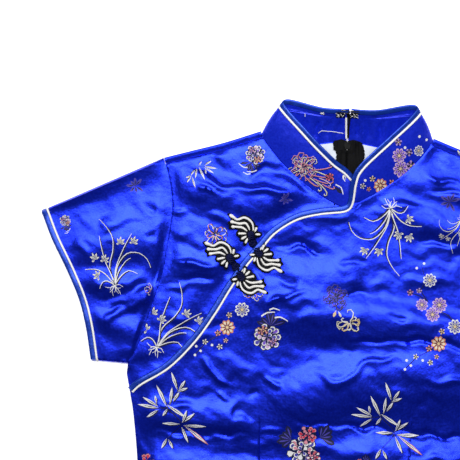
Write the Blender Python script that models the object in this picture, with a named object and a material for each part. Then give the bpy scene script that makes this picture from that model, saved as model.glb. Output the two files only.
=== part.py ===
"""Short-sleeved top in satin brocade with a mandarin collar, laid out flat on its back.

The front closes along a curved placket that runs from the collar to the wearer's right side.
The back closes with a zip. Run with: blender --background --python part.py

Sizes are in millimetres in the garment's own plane, and become metres as each mesh is made.
+X points to the wearer's left, +Y to the neck, +Z up from the table. The tables count from
the side neck point: half is the distance from the centre line and drop the distance below it.
"""

import math
from collections import namedtuple

import bmesh
import bpy
import numpy as np
from mathutils import Vector
from mathutils.bvhtree import BVHTree
from mathutils.geometry import delaunay_2d_cdt

MM = 0.001

# Driving dimensions
LENGTH = 600.0
NECK_HALF = 90.5
FRONT_NECK_DROP = 74.5
SHOULDER_TURN = 8.0
SHOULDER_SLOPE = math.radians(15.0)
CLOTH = 1.2
GAP = 0.3
BINDING_WIDTH = 5.5
BINDING_THICK = 2.0
PIPING = 1.8
COLLAR_THICK = 1.5
COLLAR_TOP_Y = 35.4
FLAP_UNDER = 22.0
TABLE_Y = (LENGTH - COLLAR_TOP_Y) / 2

# The lining behind the neck and the zip
LINING_HALF = 78.0
LINING_SIDE = 25.0
LINING_DROP = 92.0
TAPE_HALF = 13.0
CHAIN_HALF = 2.0
CHAIN_THICK = 1.6
ZIP_TOP = -5.0
ZIP_LONG = 384.0
SLIDER_HALF = 4.2
SLIDER_LONG = 8.0
SLIDER_THICK = 2.7
LUG_HALF = 1.0
LUG_LOW = 0.6
PULL_Y = ZIP_TOP - SLIDER_LONG / 2
PULL_Z = 1.1
PULL_THICK = 1.0
PULL_HALF = 3.0
PULL_LONG = 22.0
PULL_ROOT = 4.5
EAR_WIDE = 1.4
EAR_REACH = 0.9
WIRE = 0.4
WIRE_STEP = 1.2

# Heights of the layers above the table
INSIDE_LOW = CLOTH + GAP
TRIM_THICK = 1.0
SIDE_RIM = INSIDE_LOW + CLOTH
OVER_LINING = INSIDE_LOW + TRIM_THICK + GAP + CLOTH
NECK_LIFT = 3.2
NECK_LIFT_HALF = 55.0
NECK_LIFT_FROM = -64.0
NECK_LIFT_EASE = 42.0
FRONT_BASE = 5.8
HEM_RIM = 3.4
SHOULDER_RADIUS = 2.6
SHOULDER_RIM = 2 * SHOULDER_RADIUS
ARMHOLE_RIM = 4.7
NECK_RIM_OVER = 7.4
NECK_RIM_UNDER = 4.8
PLACKET_RIM = 6.8
FLAP_CLEARANCE = 0.9
SLEEVE_RADIUS = 2.2

# Widths over which the front comes down from its folds to each seam
SIDE_EASE = 22.0
HEM_EASE = 14.0
ARMHOLE_EASE = 12.0
SHOULDER_EASE = 8.0
PLACKET_EASE = 14.0
NECK_EASE = 12.0
FLAP_END = -345.0
FLAP_END_EASE = 45.0

# The shoulder panel's edge: lowered under the main panel, its own folds from SHOWN_FROM out of the placket
HIDDEN_EASE = 10.0
SHOWN_FROM = 9.0
SHOWN_EASE = 20.0
LINING_MARGIN = 8.0
TAPE_MARGIN = 6.0

# Fineness of the meshes
PANEL_STEP = 20.0
EDGE_STEP = 11.0
SLEEVE_STEP = 4.0
COLLAR_STEP = 9.0
PLACKET_STEP = 8.0
LINING_STEP = 10.0
NO_INNER_POINTS = 400.0
GRID_CLEAR = 0.45
TINY = 1e-9

# How near a corner the next point of an outline may lie
NECK_CORNER = 1.5
SIDE_CORNER = 2.0
ARMHOLE_CORNER = 3.0
FLAP_CORNER = 4.0
FLAP_FROM_X = -2.0
FLAP_TO_X = -202.0

Station = namedtuple("Station", "drop half")
Spot = namedtuple("Spot", "x y")

NECK_FRONT = (
    Station(1.0, NECK_HALF),
    Station(17.5, 77.5),
    Station(36.5, 59.5),
    Station(51.0, 40.5),
    Station(65.0, 19.0),
    Station(FRONT_NECK_DROP, 0.0),
)
NECK_BACK = (
    Station(2.6, 0.0),
    Station(5.0, 14.0),
    Station(7.7, 30.0),
    Station(8.0, 50.0),
    Station(5.0, 70.0),
    Station(0.6, NECK_HALF - 0.6),
)
SHOULDER = (
    Station(-2.6, NECK_HALF),
    Station(11.0, 128.0),
    Station(20.5, 160.0),
    Station(30.0, 192.0),
)
ARMHOLE = (
    Station(30.0, 192.0),
    Station(50.0, 185.3),
    Station(80.0, 180.4),
    Station(115.0, 183.4),
    Station(152.0, 189.0),
    Station(190.0, 199.5),
    Station(228.0, 211.0),
    Station(248.0, 219.0),
)
SIDE = (
    Station(248.0, 219.0),
    Station(257.0, 221.0),
    Station(276.0, 217.0),
    Station(300.0, 212.0),
    Station(348.0, 206.0),
    Station(400.0, 202.0),
    Station(470.0, 207.0),
    Station(540.0, 217.0),
    Station(LENGTH, 225.0),
)
CUFF = (
    Station(91.0, 318.0),
    Station(119.0, 306.0),
    Station(148.0, 290.5),
    Station(177.0, 276.5),
    Station(206.0, 267.0),
    Station(246.0, 259.0),
)
# The placket's edge, where the piping lies, from the collar seam to the wearer's right side
PLACKET = (
    Spot(12.0, -68.6),
    Spot(10.2, -73.2),
    Spot(6.0, -76.4),
    Spot(-1.0, -78.2),
    Spot(-27.0, -81.8),
    Spot(-50.0, -88.6),
    Spot(-71.5, -103.0),
    Spot(-85.0, -119.0),
    Spot(-100.0, -138.0),
    Spot(-116.0, -163.0),
    Spot(-131.0, -190.0),
    Spot(-151.0, -220.5),
    Spot(-177.0, -249.0),
    Spot(-205.0, -267.5),
    Spot(-214.5, -276.5),
)

# The largest folds of the front: a crest from one end to the other, bowed sideways by bow,
# rising over the width before it and falling over the width after it (down the garment).
Fold = namedtuple("Fold", "x0 y0 x1 y1 bow before after height")
FRONT_FOLDS = (
    Fold(-62.0, -280.0, 150.0, -258.0, -20.0, 32.0, 56.0, 9.0),
    Fold(-100.0, -173.0, 160.0, -206.0, -3.0, 28.0, 46.0, 8.0),
    Fold(-200.0, -296.0, -86.0, -302.0, 4.0, 28.0, 26.0, 5.0),
    Fold(-172.0, -52.0, -50.0, -60.0, 12.0, 26.0, 30.0, 5.5),
    Fold(60.0, -38.0, 180.0, -62.0, 6.0, 24.0, 24.0, 4.0),
    Fold(40.0, -74.0, 172.0, -98.0, 4.0, 28.0, 28.0, 5.0),
    Fold(-176.0, -135.0, -122.0, -144.0, 3.0, 26.0, 26.0, 3.6),
    Fold(-62.0, -150.0, 20.0, -140.0, 6.0, 28.0, 28.0, 4.5),
    Fold(70.0, -232.0, 196.0, -216.0, 8.0, 28.0, 30.0, 5.0),
    Fold(-190.0, -352.0, 20.0, -366.0, 8.0, 30.0, 32.0, 6.5),
    Fold(0.0, -338.0, 190.0, -350.0, -10.0, 30.0, 30.0, 6.5),
    Fold(-150.0, -430.0, -120.0, -590.0, 6.0, 28.0, 30.0, 6.0),
    Fold(-55.0, -440.0, -40.0, -596.0, -8.0, 30.0, 30.0, 6.5),
    Fold(45.0, -425.0, 62.0, -594.0, 8.0, 28.0, 34.0, 6.0),
    Fold(140.0, -420.0, 152.0, -590.0, -6.0, 28.0, 28.0, 5.5),
)
FOLD_LIMIT = 10.0
FOLD_OVERRUN = 0.12
FOLD_END = 0.3

# Sleeve folds run across a sleeve: at is the share of the way from the shoulder to the underarm
SleeveFold = namedtuple("SleeveFold", "at0 at1 before after height")
SLEEVE_FOLDS = (
    SleeveFold(0.36, 0.16, 0.20, 0.16, 3.4),
    SleeveFold(0.66, 0.50, 0.12, 0.12, 3.8),
    SleeveFold(0.86, 0.74, 0.10, 0.10, 2.6),
)

# Collar stations, from centre back round the side fold to centre front: the seam and the top edge
Rib = namedtuple("Rib", "seam_x seam_y seam_z top_x top_y top_z")
COLLAR_BACK_RIBS = (
    Rib(1.0, -1.8, 4.4, 1.0, 28.0, 22.0),
    Rib(14.0, -4.2, 4.0, 13.0, 27.4, 21.6),
    Rib(30.0, -6.8, 2.8, 28.0, 28.0, 20.6),
    Rib(46.0, -7.2, 1.7, 41.0, 30.6, 19.6),
    Rib(62.0, -5.4, 1.5, 53.5, 33.6, 18.6),
    Rib(78.0, -1.6, 2.0, 63.5, 35.4, 18.0),
    Rib(86.8, 1.2, 3.0, 68.3, 34.6, 18.4),
    Rib(89.5, 0.2, 4.4, 69.4, 31.4, 19.4),
    Rib(86.8, -4.4, 6.0, 65.8, 26.0, 21.0),
)
OVER_FRONT_RIBS = (
    Rib(81.0, -12.0, 7.6, 58.0, 17.5, 23.0),
    Rib(70.5, -24.6, 8.1, 46.5, 6.0, 24.0),
    Rib(57.5, -37.4, 8.3, 35.0, -5.6, 24.0),
    Rib(44.0, -47.6, 8.4, 23.6, -17.0, 23.5),
    Rib(32.0, -56.0, 8.4, 14.0, -27.2, 22.3),
    Rib(23.5, -61.2, 8.4, 7.4, -36.6, 20.5),
    Rib(18.5, -64.2, 8.4, 4.4, -47.0, 17.5),
    Rib(14.8, -66.4, 8.4, 3.2, -57.0, 14.0),
    Rib(12.4, -67.8, 8.4, 2.6, -64.8, 11.6),
)
UNDER_FRONT_RIBS = (
    Rib(81.0, -11.6, 6.6, 58.0, 17.5, 22.0),
    Rib(70.5, -24.2, 6.4, 46.5, 6.0, 22.6),
    Rib(57.5, -37.0, 6.1, 35.0, -5.6, 22.4),
    Rib(43.0, -48.6, 5.9, 22.5, -17.0, 20.8),
    Rib(28.0, -58.8, 5.8, 10.5, -27.0, 17.2),
    Rib(12.0, -67.6, 5.7, 0.0, -33.5, 13.4),
    Rib(1.0, -72.0, 5.6, -6.0, -38.8, 11.2),
    Rib(-3.6, -72.6, 5.6, -10.6, -42.6, 9.6),
)

Colour = namedtuple("Colour", "red green blue roughness metallic")
BLUE_SATIN = Colour(0.012, 0.030, 0.62, 0.36, 0.0)
BINDING_BLUE = Colour(0.015, 0.060, 0.45, 0.40, 0.0)
WHITE_CORD = Colour(0.85, 0.84, 0.80, 0.55, 0.0)
WHITE_LINING = Colour(0.78, 0.82, 0.88, 0.70, 0.0)
BLACK_TAPE = Colour(0.010, 0.010, 0.012, 0.80, 0.0)
BLACK_SATIN = Colour(0.010, 0.010, 0.030, 0.45, 0.0)
KNOT_BLUE = Colour(0.010, 0.015, 0.18, 0.45, 0.0)
STEEL = Colour(0.60, 0.60, 0.62, 0.30, 1.0)


# Small helpers


def smooth_step(x):
    x = np.clip(x, 0.0, 1.0)
    return x * x * (3.0 - 2.0 * x)


def through(points, step):
    """A smooth curve through the points, as points about step apart."""
    p = np.array(points, float)
    padded = np.vstack([2 * p[0] - p[1], p, 2 * p[-1] - p[-2]])
    out = []
    for a, b, c, d in zip(padded[:-3], padded[1:-2], padded[2:-1], padded[3:]):
        count = max(1, math.ceil(np.linalg.norm(c - b) / step))
        for t in np.arange(count) / count:
            straight = 2 * b + (c - a) * t
            bend = (2 * a - 5 * b + 4 * c - d) * t**2 + (3 * b - a - 3 * c + d) * t**3
            out.append((straight + bend) / 2)
    out.append(p[-1])
    return np.array(out)


def stations(table, side):
    """A table's points on one side of the garment: side is 1 for the wearer's left, -1 for the right."""
    return [(side * row.half, -row.drop) for row in table]


def distance_to(curve, points):
    """How far each point is from an open polyline, in the plane."""
    a, b = curve[:-1], curve[1:]
    run = b - a
    ahead = ((points[:, None] - a) * run).sum(2) / np.maximum((run**2).sum(1), TINY)
    foot = a + np.clip(ahead, 0, 1)[..., None] * run
    return np.sqrt(((points[:, None] - foot) ** 2).sum(2)).min(1)


def inside(polygon, points):
    """Which points lie inside a closed polygon."""
    a, b = polygon, np.roll(polygon, -1, axis=0)
    x, y = points[:, 0][:, None], points[:, 1][:, None]
    straddles = (a[:, 1] > y) != (b[:, 1] > y)
    rise = np.where(b[:, 1] == a[:, 1], TINY, b[:, 1] - a[:, 1])
    crossing = a[:, 0] + (y - a[:, 1]) * (b[:, 0] - a[:, 0]) / rise
    return (straddles & (x < crossing)).sum(1) % 2 == 1


def inset(polygon, amount):
    """A closed anticlockwise polygon drawn in by amount, as a seam allowance."""
    ahead = np.roll(polygon, -1, axis=0) - polygon
    behind = polygon - np.roll(polygon, 1, axis=0)
    along = ahead / np.linalg.norm(ahead, axis=1)[:, None]
    along += behind / np.linalg.norm(behind, axis=1)[:, None]
    along /= np.linalg.norm(along, axis=1)[:, None]
    return polygon + amount * np.stack([-along[:, 1], along[:, 0]], axis=1)


def triangles_over(polygon, step):
    """Points and triangles that fill a closed polygon, with inner points on a grid of that step."""
    low, high = polygon.min(0), polygon.max(0)
    xs = np.arange(low[0] + step / 2, high[0], step)
    ys = np.arange(low[1] + step / 2, high[1], step)
    grid = np.array([(x, y) for y in ys for x in xs]).reshape(-1, 2)
    ring = np.vstack([polygon, polygon[:1]])
    grid = grid[inside(polygon, grid)]
    grid = grid[distance_to(ring, grid) > GRID_CLEAR * step]
    count = len(polygon)
    made = delaunay_2d_cdt(
        [Vector(p) for p in np.vstack([polygon, grid])],
        [],
        [list(range(count))],
        1,
        1e-5,
    )
    return np.array([tuple(p) for p in made[0]]), [tuple(f) for f in made[2]]


def add_solid(name, points, faces, colour, smooth=True):
    """One object from points in millimetres on the garment's plane."""
    mesh = bpy.data.meshes.new(name)
    world = np.array(points, float) + (0.0, TABLE_Y, 0.0)
    mesh.from_pydata([tuple(p * MM) for p in world], [], faces)
    mesh.validate()
    if smooth:
        mesh.shade_smooth()
        mesh.set_sharp_from_angle(angle=math.radians(50))
    made = bpy.data.objects.new(name, mesh)
    bpy.context.scene.collection.objects.link(made)
    material = bpy.data.materials.get(str(colour)) or bpy.data.materials.new(str(colour))
    material.use_nodes = True
    shader = material.node_tree.nodes["Principled BSDF"]
    shader.inputs["Base Color"].default_value = (*colour[:3], 1.0)
    shader.inputs["Roughness"].default_value = colour.roughness
    shader.inputs["Metallic"].default_value = colour.metallic
    mesh.materials.append(material)
    return made


def wall(name, outer, inner, faces, colour):
    """A closed wall between an outer and an inner sheet that share their triangles."""
    count = len(outer)
    sheet = [(face[0], b, c) for face in faces for b, c in zip(face[1:], face[2:])]
    edges = {edge for a, b, c in sheet for edge in ((a, b), (b, c), (c, a))}
    rim = [(b, a, a + count, b + count) for a, b in sorted(edges) if (b, a) not in edges]
    inner_sheet = [tuple(i + count for i in reversed(face)) for face in sheet]
    return facing_out(add_solid(name, np.vstack([outer, inner]), [*sheet, *inner_sheet, *rim], colour))


def grid_faces(rows, columns, closed=False):
    """Quads over rows of points; closed joins the last column to the first."""
    last = columns if closed else columns - 1
    return [
        (r * columns + c, r * columns + (c + 1) % columns,
         (r + 1) * columns + (c + 1) % columns, (r + 1) * columns + c)
        for r in range(rows - 1)
        for c in range(last)
    ]


def tube(name, path, radius, colour, sides=5, ring_axis=None):
    """A round cord along a path of points in millimetres, or a ring round the axis that is given."""
    path = np.array(path, float)
    if ring_axis is None:
        along = np.gradient(path, axis=0)
        across = np.cross(along, (0.0, 0.0, 1.0))
    else:
        along = np.roll(path, -1, axis=0) - np.roll(path, 1, axis=0)
        across = np.tile(ring_axis, (len(path), 1)).astype(float)
    along /= np.linalg.norm(along, axis=1)[:, None]
    across -= (across * along).sum(1)[:, None] * along
    across /= np.linalg.norm(across, axis=1)[:, None]
    up = np.cross(across, along)
    turns = np.arange(sides) * 2 * math.pi / sides
    rings = [
        p + radius * (math.cos(a) * s + math.sin(a) * u)
        for p, s, u in zip(path, across, up)
        for a in turns
    ]
    faces = grid_faces(len(path), sides, closed=True)
    final = (len(path) - 1) * sides
    if ring_axis is not None:
        faces += [(final + i, final + (i + 1) % sides, (i + 1) % sides, i) for i in range(sides)]
    else:
        faces += [tuple(reversed(range(sides))), tuple(range(final, final + sides))]
    return facing_out(add_solid(name, rings, faces, colour))


# A binding's section, as shares of its width and its thickness
BAND_SECTION = (Spot(0.0, 0.42), Spot(0.7, 0.5), Spot(1.0, 0.0), Spot(0.7, -0.5), Spot(0.0, -0.42))


def band(name, inner, outer, up, thick, colour):
    """A binding: a strip from an inner to a rounded outer edge line, thick along up."""
    points = [
        a + (b - a) * spot.x + n * thick * spot.y
        for a, b, n in zip(inner, outer, up)
        for spot in BAND_SECTION
    ]
    size = len(BAND_SECTION)
    faces = grid_faces(len(inner), size, closed=True)
    final = (len(inner) - 1) * size
    faces += [tuple(reversed(range(size))), tuple(range(final, final + size))]
    return facing_out(add_solid(name, points, faces, colour))


def facing_out(made):
    """Turns a solid's faces outwards."""
    shape = bmesh.new()
    shape.from_mesh(made.data)
    bmesh.ops.recalc_face_normals(shape, faces=shape.faces)
    shape.to_mesh(made.data)
    shape.free()
    return made


# The cloth's height above the table


def fold_rise(fold, points):
    """How much one fold lifts the cloth at each point."""
    start, end = np.array((fold.x0, fold.y0)), np.array((fold.x1, fold.y1))
    run = end - start
    long = np.linalg.norm(run)
    along_way, across_way = run / long, np.array((run[1], -run[0])) / long
    if across_way[1] > 0:
        across_way = -across_way
    along = (points - start) @ along_way / long
    bend = fold.bow * (1 - (2 * along - 1) ** 2)
    across = (points - start) @ across_way - bend
    width = np.where(across < 0, fold.before, fold.after)
    profile = 0.5 + 0.5 * np.cos(math.pi * np.clip(np.abs(across) / width, 0, 1))
    ends = smooth_step((along + FOLD_OVERRUN) / FOLD_END) * smooth_step((1 + FOLD_OVERRUN - along) / FOLD_END)
    return fold.height * profile * ends


def folds_rise(points):
    rise = sum(fold_rise(fold, points) for fold in FRONT_FOLDS)
    return FOLD_LIMIT * np.tanh(rise / FOLD_LIMIT)


def neck_lift(x, y):
    """How far the back stands off the table at the top of the zip, where the pull hangs under it."""
    across = smooth_step(1 - np.abs(x) / NECK_LIFT_HALF)
    return NECK_LIFT * across * smooth_step((y - NECK_LIFT_FROM) / NECK_LIFT_EASE)


SIDES = {side: through(stations(SIDE, side), EDGE_STEP) for side in (1, -1)}
ARMHOLES = {side: through(stations(ARMHOLE, side), EDGE_STEP) for side in (1, -1)}
NECK_SEAMS = {side: through(stations(NECK_FRONT, side), EDGE_STEP) for side in (1, -1)}
BACK_NECKS = {side: through(stations(NECK_BACK, side), EDGE_STEP) for side in (1, -1)}
SHOULDERS = {side: through(stations(SHOULDER, side), EDGE_STEP) for side in (1, -1)}
PLACKET_LINE = through(PLACKET, EDGE_STEP)
HEM_LINE = np.array([(x, -LENGTH) for x in np.linspace(-SIDE[-1].half, SIDE[-1].half, 40)])


def over_shoulder(side):
    """The way square to the shoulder's fold, away from the garment."""
    return np.array((side * math.sin(SHOULDER_SLOPE), math.cos(SHOULDER_SLOPE)))


# The shoulder seams lie on the front, a little below the fold of the shoulder
SHOULDER_SEAMS = {side: SHOULDERS[side] - SHOULDER_TURN * over_shoulder(side) for side in (1, -1)}


def armhole_front(side):
    """The armhole from the end of the shoulder seam down to the underarm."""
    line = ARMHOLES[side]
    end_y = SHOULDER_SEAMS[side][-1][1]
    start = (np.interp(-end_y, -line[:, 1], line[:, 0]), end_y)
    return np.vstack([start, line[line[:, 1] < end_y - ARMHOLE_CORNER]])


def eased(height, curve, points, rim, ease):
    """Brings the height to rim at a seam, over the distance ease."""
    share = smooth_step(distance_to(curve, points) / ease)
    return rim + (height - rim) * share


def main_height(points):
    """Top of the main front panel."""
    height = FRONT_BASE + folds_rise(points)
    for side in (1, -1):
        over_flap = smooth_step((points[:, 1] - FLAP_END) / FLAP_END_EASE) * (side < 0)
        rim = SIDE_RIM + (FLAP_CLEARANCE + CLOTH) * over_flap
        height = eased(height, SIDES[side], points, rim, SIDE_EASE)
    height = eased(height, HEM_LINE, points, HEM_RIM, HEM_EASE)
    height = eased(height, armhole_front(1), points, ARMHOLE_RIM, ARMHOLE_EASE)
    height = eased(height, SHOULDER_SEAMS[1], points, SHOULDER_RIM, SHOULDER_EASE)
    height = eased(height, PLACKET_LINE[:-3], points, PLACKET_RIM, PLACKET_EASE)
    return eased(height, NECK_SEAMS[1], points, NECK_RIM_OVER, NECK_EASE)


def under_height(points):
    """Top of the shoulder panel, which runs in under the main panel's edge."""
    height = FRONT_BASE + folds_rise(points)
    height = eased(height, SIDES[-1], points, SIDE_RIM, SIDE_EASE)
    height = eased(height, armhole_front(-1), points, ARMHOLE_RIM, ARMHOLE_EASE)
    height = eased(height, SHOULDER_SEAMS[-1], points, SHOULDER_RIM, SHOULDER_EASE)
    height = eased(height, NECK_SEAMS[-1], points, NECK_RIM_UNDER, NECK_EASE)
    lowered = np.minimum(height, main_height(points) - CLOTH - FLAP_CLEARANCE)
    across, up = np.abs(points[:, 0]), points[:, 1]
    over_lining = (across < LINING_HALF + LINING_MARGIN) & (up > -LINING_DROP - LINING_MARGIN)
    over_lining |= across < TAPE_HALF + TAPE_MARGIN
    lowest = np.where(over_lining, OVER_LINING, SIDE_RIM)
    away = distance_to(PLACKET_LINE, points)
    hidden = lowest + (lowered - lowest) * (1 - smooth_step(away / HIDDEN_EASE))
    shown = lowered + (height - lowered) * smooth_step((away - SHOWN_FROM) / SHOWN_EASE)
    return np.maximum(np.where(inside(MAIN_OUTLINE, points), hidden, shown), lowest)


def main_outline():
    """The main front panel: collar seam, left shoulder, armhole and side, hem, right side, placket."""
    neck = NECK_SEAMS[1][::-1]
    neck = neck[neck[:, 0] > PLACKET[0].x + NECK_CORNER]
    right_side = SIDES[-1][::-1]
    right_side = right_side[right_side[:, 1] < PLACKET[-1].y - SIDE_CORNER]
    hem = HEM_LINE[::-1][1:-1]
    return np.vstack([
        PLACKET_LINE[:1], neck[:-1], SHOULDER_SEAMS[1][:-1], armhole_front(1),
        SIDES[1][1:], hem, right_side, PLACKET_LINE[::-1][:-1],
    ])


def under_outline():
    """The shoulder panel: collar seam, right shoulder, armhole, side, and its edge under the main panel."""
    neck = NECK_SEAMS[-1][::-1]
    slope = np.gradient(PLACKET_LINE, axis=0)
    slope /= np.linalg.norm(slope, axis=1)[:, None]
    hidden = PLACKET_LINE + FLAP_UNDER * np.stack([-slope[:, 1], slope[:, 0]], axis=1)
    hidden = hidden[(hidden[:, 0] < FLAP_FROM_X) & (hidden[:, 0] > FLAP_TO_X)]
    side = SIDES[-1]
    side = side[side[:, 1] > hidden[-1][1] + FLAP_CORNER]
    return np.vstack([
        neck[:-1], SHOULDER_SEAMS[-1][:-1], armhole_front(-1), side[1:], hidden[::-1],
    ])


def counter_clockwise(polygon):
    a, b = polygon, np.roll(polygon, -1, axis=0)
    area = (a[:, 0] * b[:, 1] - b[:, 0] * a[:, 1]).sum()
    return polygon if area > 0 else polygon[::-1]


MAIN_OUTLINE = inset(counter_clockwise(main_outline()), GAP / 2)
UNDER_OUTLINE = inset(counter_clockwise(under_outline()), GAP / 2)


def front_panel(name, outline, height):
    """A front panel: a wall whose top follows the folds."""
    plan, faces = triangles_over(outline, PANEL_STEP)
    top = height(plan)
    outer = np.column_stack([plan, top])
    inner = np.column_stack([plan, top - CLOTH])
    return wall(name, outer, inner, faces, BLUE_SATIN)


# Back panels

BACK_COLUMNS_AT_NECK = (0.0, 9.0, 18.0, 30.0, 43.0, 57.0, 73.0)
BACK_COLUMNS_AT_SHOULDER = 6
BACK_ROWS_BELOW = 12
BACK_ROWS_ABOVE = 9
BACK_FINE_FROM = -100.0
BACK_LAST_SHARE = 0.995
SHOULDER_BENDS = (-45, 0, 45, 90)
ZIP_NECK_HALF = 1.6
ZIP_NECK_DROP = 17.0


def back_panel(name, side):
    """Half of the back, flat on the table, turned over the shoulder to the seam on the front."""
    half = SHOULDER[-1].half
    first_shoulder = NECK_HALF / half
    neck_shares = [x / half for x in BACK_COLUMNS_AT_NECK]
    shoulder_shares = np.linspace(first_shoulder, BACK_LAST_SHARE, BACK_COLUMNS_AT_SHOULDER)
    shares = [*neck_shares, *shoulder_shares]
    turned_from = len(neck_shares)
    edge = np.vstack([SIDES[1][::-1], ARMHOLES[1][::-1][1:]])
    neck, shoulder = BACK_NECKS[1], SHOULDERS[1]
    top_y = [np.interp(share * half, neck[:, 0], neck[:, 1]) - GAP for share in neck_shares]
    top_y += [
        np.interp(share * half, shoulder[:, 0], shoulder[:, 1]) - SHOULDER_RADIUS
        for share in shoulder_shares
    ]
    levels = [*np.linspace(-LENGTH, BACK_FINE_FROM, BACK_ROWS_BELOW, endpoint=False)]
    levels += [*np.linspace(BACK_FINE_FROM, 0.0, BACK_ROWS_ABOVE)]
    outer, inner = [], []
    columns = len(shares)
    for level in levels:
        way_up = (level + LENGTH) / LENGTH
        edge_y = -LENGTH + way_up * (LENGTH - SHOULDER[-1].drop)
        edge_x = np.interp(edge_y, edge[:, 1], edge[:, 0]) - GAP / 2
        for share, y_end in zip(shares, top_y):
            y = -LENGTH + way_up * (y_end + LENGTH)
            centre = ZIP_NECK_HALF if y > -ZIP_NECK_DROP else GAP / 2
            x = centre + share * (edge_x - centre)
            lift = neck_lift(x, y)
            outer.append((side * x, y, lift))
            inner.append((side * x, y, lift + CLOTH))
    faces = grid_faces(len(levels), columns)
    last_row = (len(levels) - 1) * columns
    previous = list(range(last_row + turned_from, last_row + columns))
    upward = over_shoulder(side)
    for bend in (*SHOULDER_BENDS, None):
        ring = []
        for column in range(turned_from, columns):
            base = np.array(outer[last_row + column][:2])
            if bend is None:
                plan_out = plan_in = base - upward * (SHOULDER_TURN - SHOULDER_RADIUS - GAP)
                z_out, z_in = SHOULDER_RIM, SHOULDER_RIM - CLOTH
            else:
                reach, rise = math.cos(math.radians(bend)), math.sin(math.radians(bend))
                plan_out = base + upward * SHOULDER_RADIUS * reach
                plan_in = base + upward * (SHOULDER_RADIUS - CLOTH) * reach
                z_out = SHOULDER_RADIUS * (1 + rise)
                z_in = SHOULDER_RADIUS + (SHOULDER_RADIUS - CLOTH) * rise
            ring.append(len(outer))
            outer.append((*plan_out, z_out))
            inner.append((*plan_in, z_in))
        faces += list(zip(previous, previous[1:], ring[1:], ring))
        previous = ring
    return wall(name, np.array(outer), np.array(inner), faces, BLUE_SATIN)


# Sleeves

SLEEVE_BASE = 6.2
SLEEVE_MIDDLE = 9
CUFF_TOP = 5.8
CUFF_WIDTH = BINDING_WIDTH + 2 * GAP + PIPING
CUFF_TILT = 0.35
SLEEVE_SECTIONS = (0.0, 0.10, 0.26, 0.44, 0.62, 0.80, 1.0)

# Shares of a sleeve's length over which it comes down to the armhole and to the cuff
ARMHOLE_SHARE = 0.14
CUFF_SHARE = 0.25
KEPT_AT_CUFF = 0.3
LEFT_SLEEVE_DRIFT = 0.8


def sleeve_height(along, down, side):
    """Top of a sleeve: along runs from armhole to cuff, down from shoulder to underarm."""
    height = SLEEVE_BASE
    for fold in SLEEVE_FOLDS:
        drift = along if side < 0 else 1 - LEFT_SLEEVE_DRIFT * along
        crest = fold.at0 + (fold.at1 - fold.at0) * drift
        width = fold.before if down < crest else fold.after
        height += fold.height * (0.5 + 0.5 * math.cos(math.pi * min(1.0, abs(down - crest) / width)))
    height = ARMHOLE_RIM + (height - ARMHOLE_RIM) * smooth_step(along / ARMHOLE_SHARE)
    kept = KEPT_AT_CUFF + (1 - KEPT_AT_CUFF) * smooth_step((1 - along) / CUFF_SHARE)
    return CUFF_TOP + (height - CUFF_TOP) * kept


def sleeve_edges(side):
    """The armhole seam and the cuff line, each from the shoulder down to the underarm."""
    armhole = through(stations(ARMHOLE, side), SLEEVE_STEP) + (side * GAP, 0.0)
    return armhole, through(stations(CUFF, side), SLEEVE_STEP)


def at_share(curve, share):
    """The point at a share of a curve's length."""
    steps = np.linalg.norm(np.diff(curve, axis=0), axis=1)
    reach = np.concatenate([[0.0], np.cumsum(steps)])
    return np.array([np.interp(share * reach[-1], reach, curve[:, i]) for i in range(2)])


def sleeve_ring(side, along, back):
    """Outer and inner points of a flattened section: along 1 is the line that lies back from the cuff."""
    armhole, cuff = sleeve_edges(side)

    def plan(share):
        start, end = at_share(armhole, share), at_share(cuff, share)
        end = end - (end - start) / np.linalg.norm(end - start) * back
        return start + (end - start) * along

    across = np.linalg.norm(plan(1.0) - plan(0.0))
    middle = np.linspace(0.0, 1.0, SLEEVE_MIDDLE + 2)[1:-1]
    outer, inner = [], []

    def turn(at_shoulder, angles):
        for angle in np.radians(angles):
            for radius, low, found in ((SLEEVE_RADIUS, 0.0, outer), (SLEEVE_RADIUS - CLOTH, CLOTH, inner)):
                away = (SLEEVE_RADIUS - radius * math.cos(angle)) / across
                share = away if at_shoulder else 1 - away
                high = sleeve_height(along, share, side) - low
                found.append((*plan(share), low + (high - low) * (1 + math.sin(angle)) / 2))

    turn(True, (0, 45, 90))
    for share in middle:
        high = sleeve_height(along, share, side)
        outer.append((*plan(share), high))
        inner.append((*plan(share), high - CLOTH))
    turn(False, (90, 45, 0, -45, -90))
    for share in middle[::-2]:
        outer.append((*plan(share), 0.0))
        inner.append((*plan(share), CLOTH))
    turn(True, (-90, -45))
    return np.array(outer), np.array(inner)


def ring_wall(name, rings, colour):
    """A tube of cloth through its sections."""
    outer = np.vstack([ring[0] for ring in rings])
    inner = np.vstack([ring[1] for ring in rings])
    faces = grid_faces(len(rings), len(rings[0][0]), closed=True)
    return wall(name, outer, inner, faces, colour)


def sleeve(name, side):
    """A short sleeve, flattened, from the armhole seam to the piping."""
    return ring_wall(name, [sleeve_ring(side, along, CUFF_WIDTH) for along in SLEEVE_SECTIONS], BLUE_SATIN)


def cuff_edge(name, side):
    """The bias strip round the sleeve's end and the cord between it and the sleeve."""
    backs = (BINDING_WIDTH, BINDING_WIDTH / 2, 0.0)
    ring_wall(f"cuff_binding_{name}", [sleeve_ring(side, 1.0, back) for back in backs], BINDING_BLUE)
    outer, inner = sleeve_ring(side, 1.0, BINDING_WIDTH + GAP + PIPING / 2)
    middle = (outer + inner) / 2 + (0.0, 0.0, (PIPING - CLOTH) / 2)
    tube(f"cuff_piping_{name}", middle, PIPING / 2, WHITE_CORD, ring_axis=(side, -CUFF_TILT, 0.0))


# Collar

COLLAR_SHARES = (0.0, 0.34, 0.67, 1.0)
COLLAR_BELLY = 1.6
BELLY_TO = 0.9
MOST_SLANT = 0.8
LEAST_BINDING = 0.12
MOST_BINDING = 0.95


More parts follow.
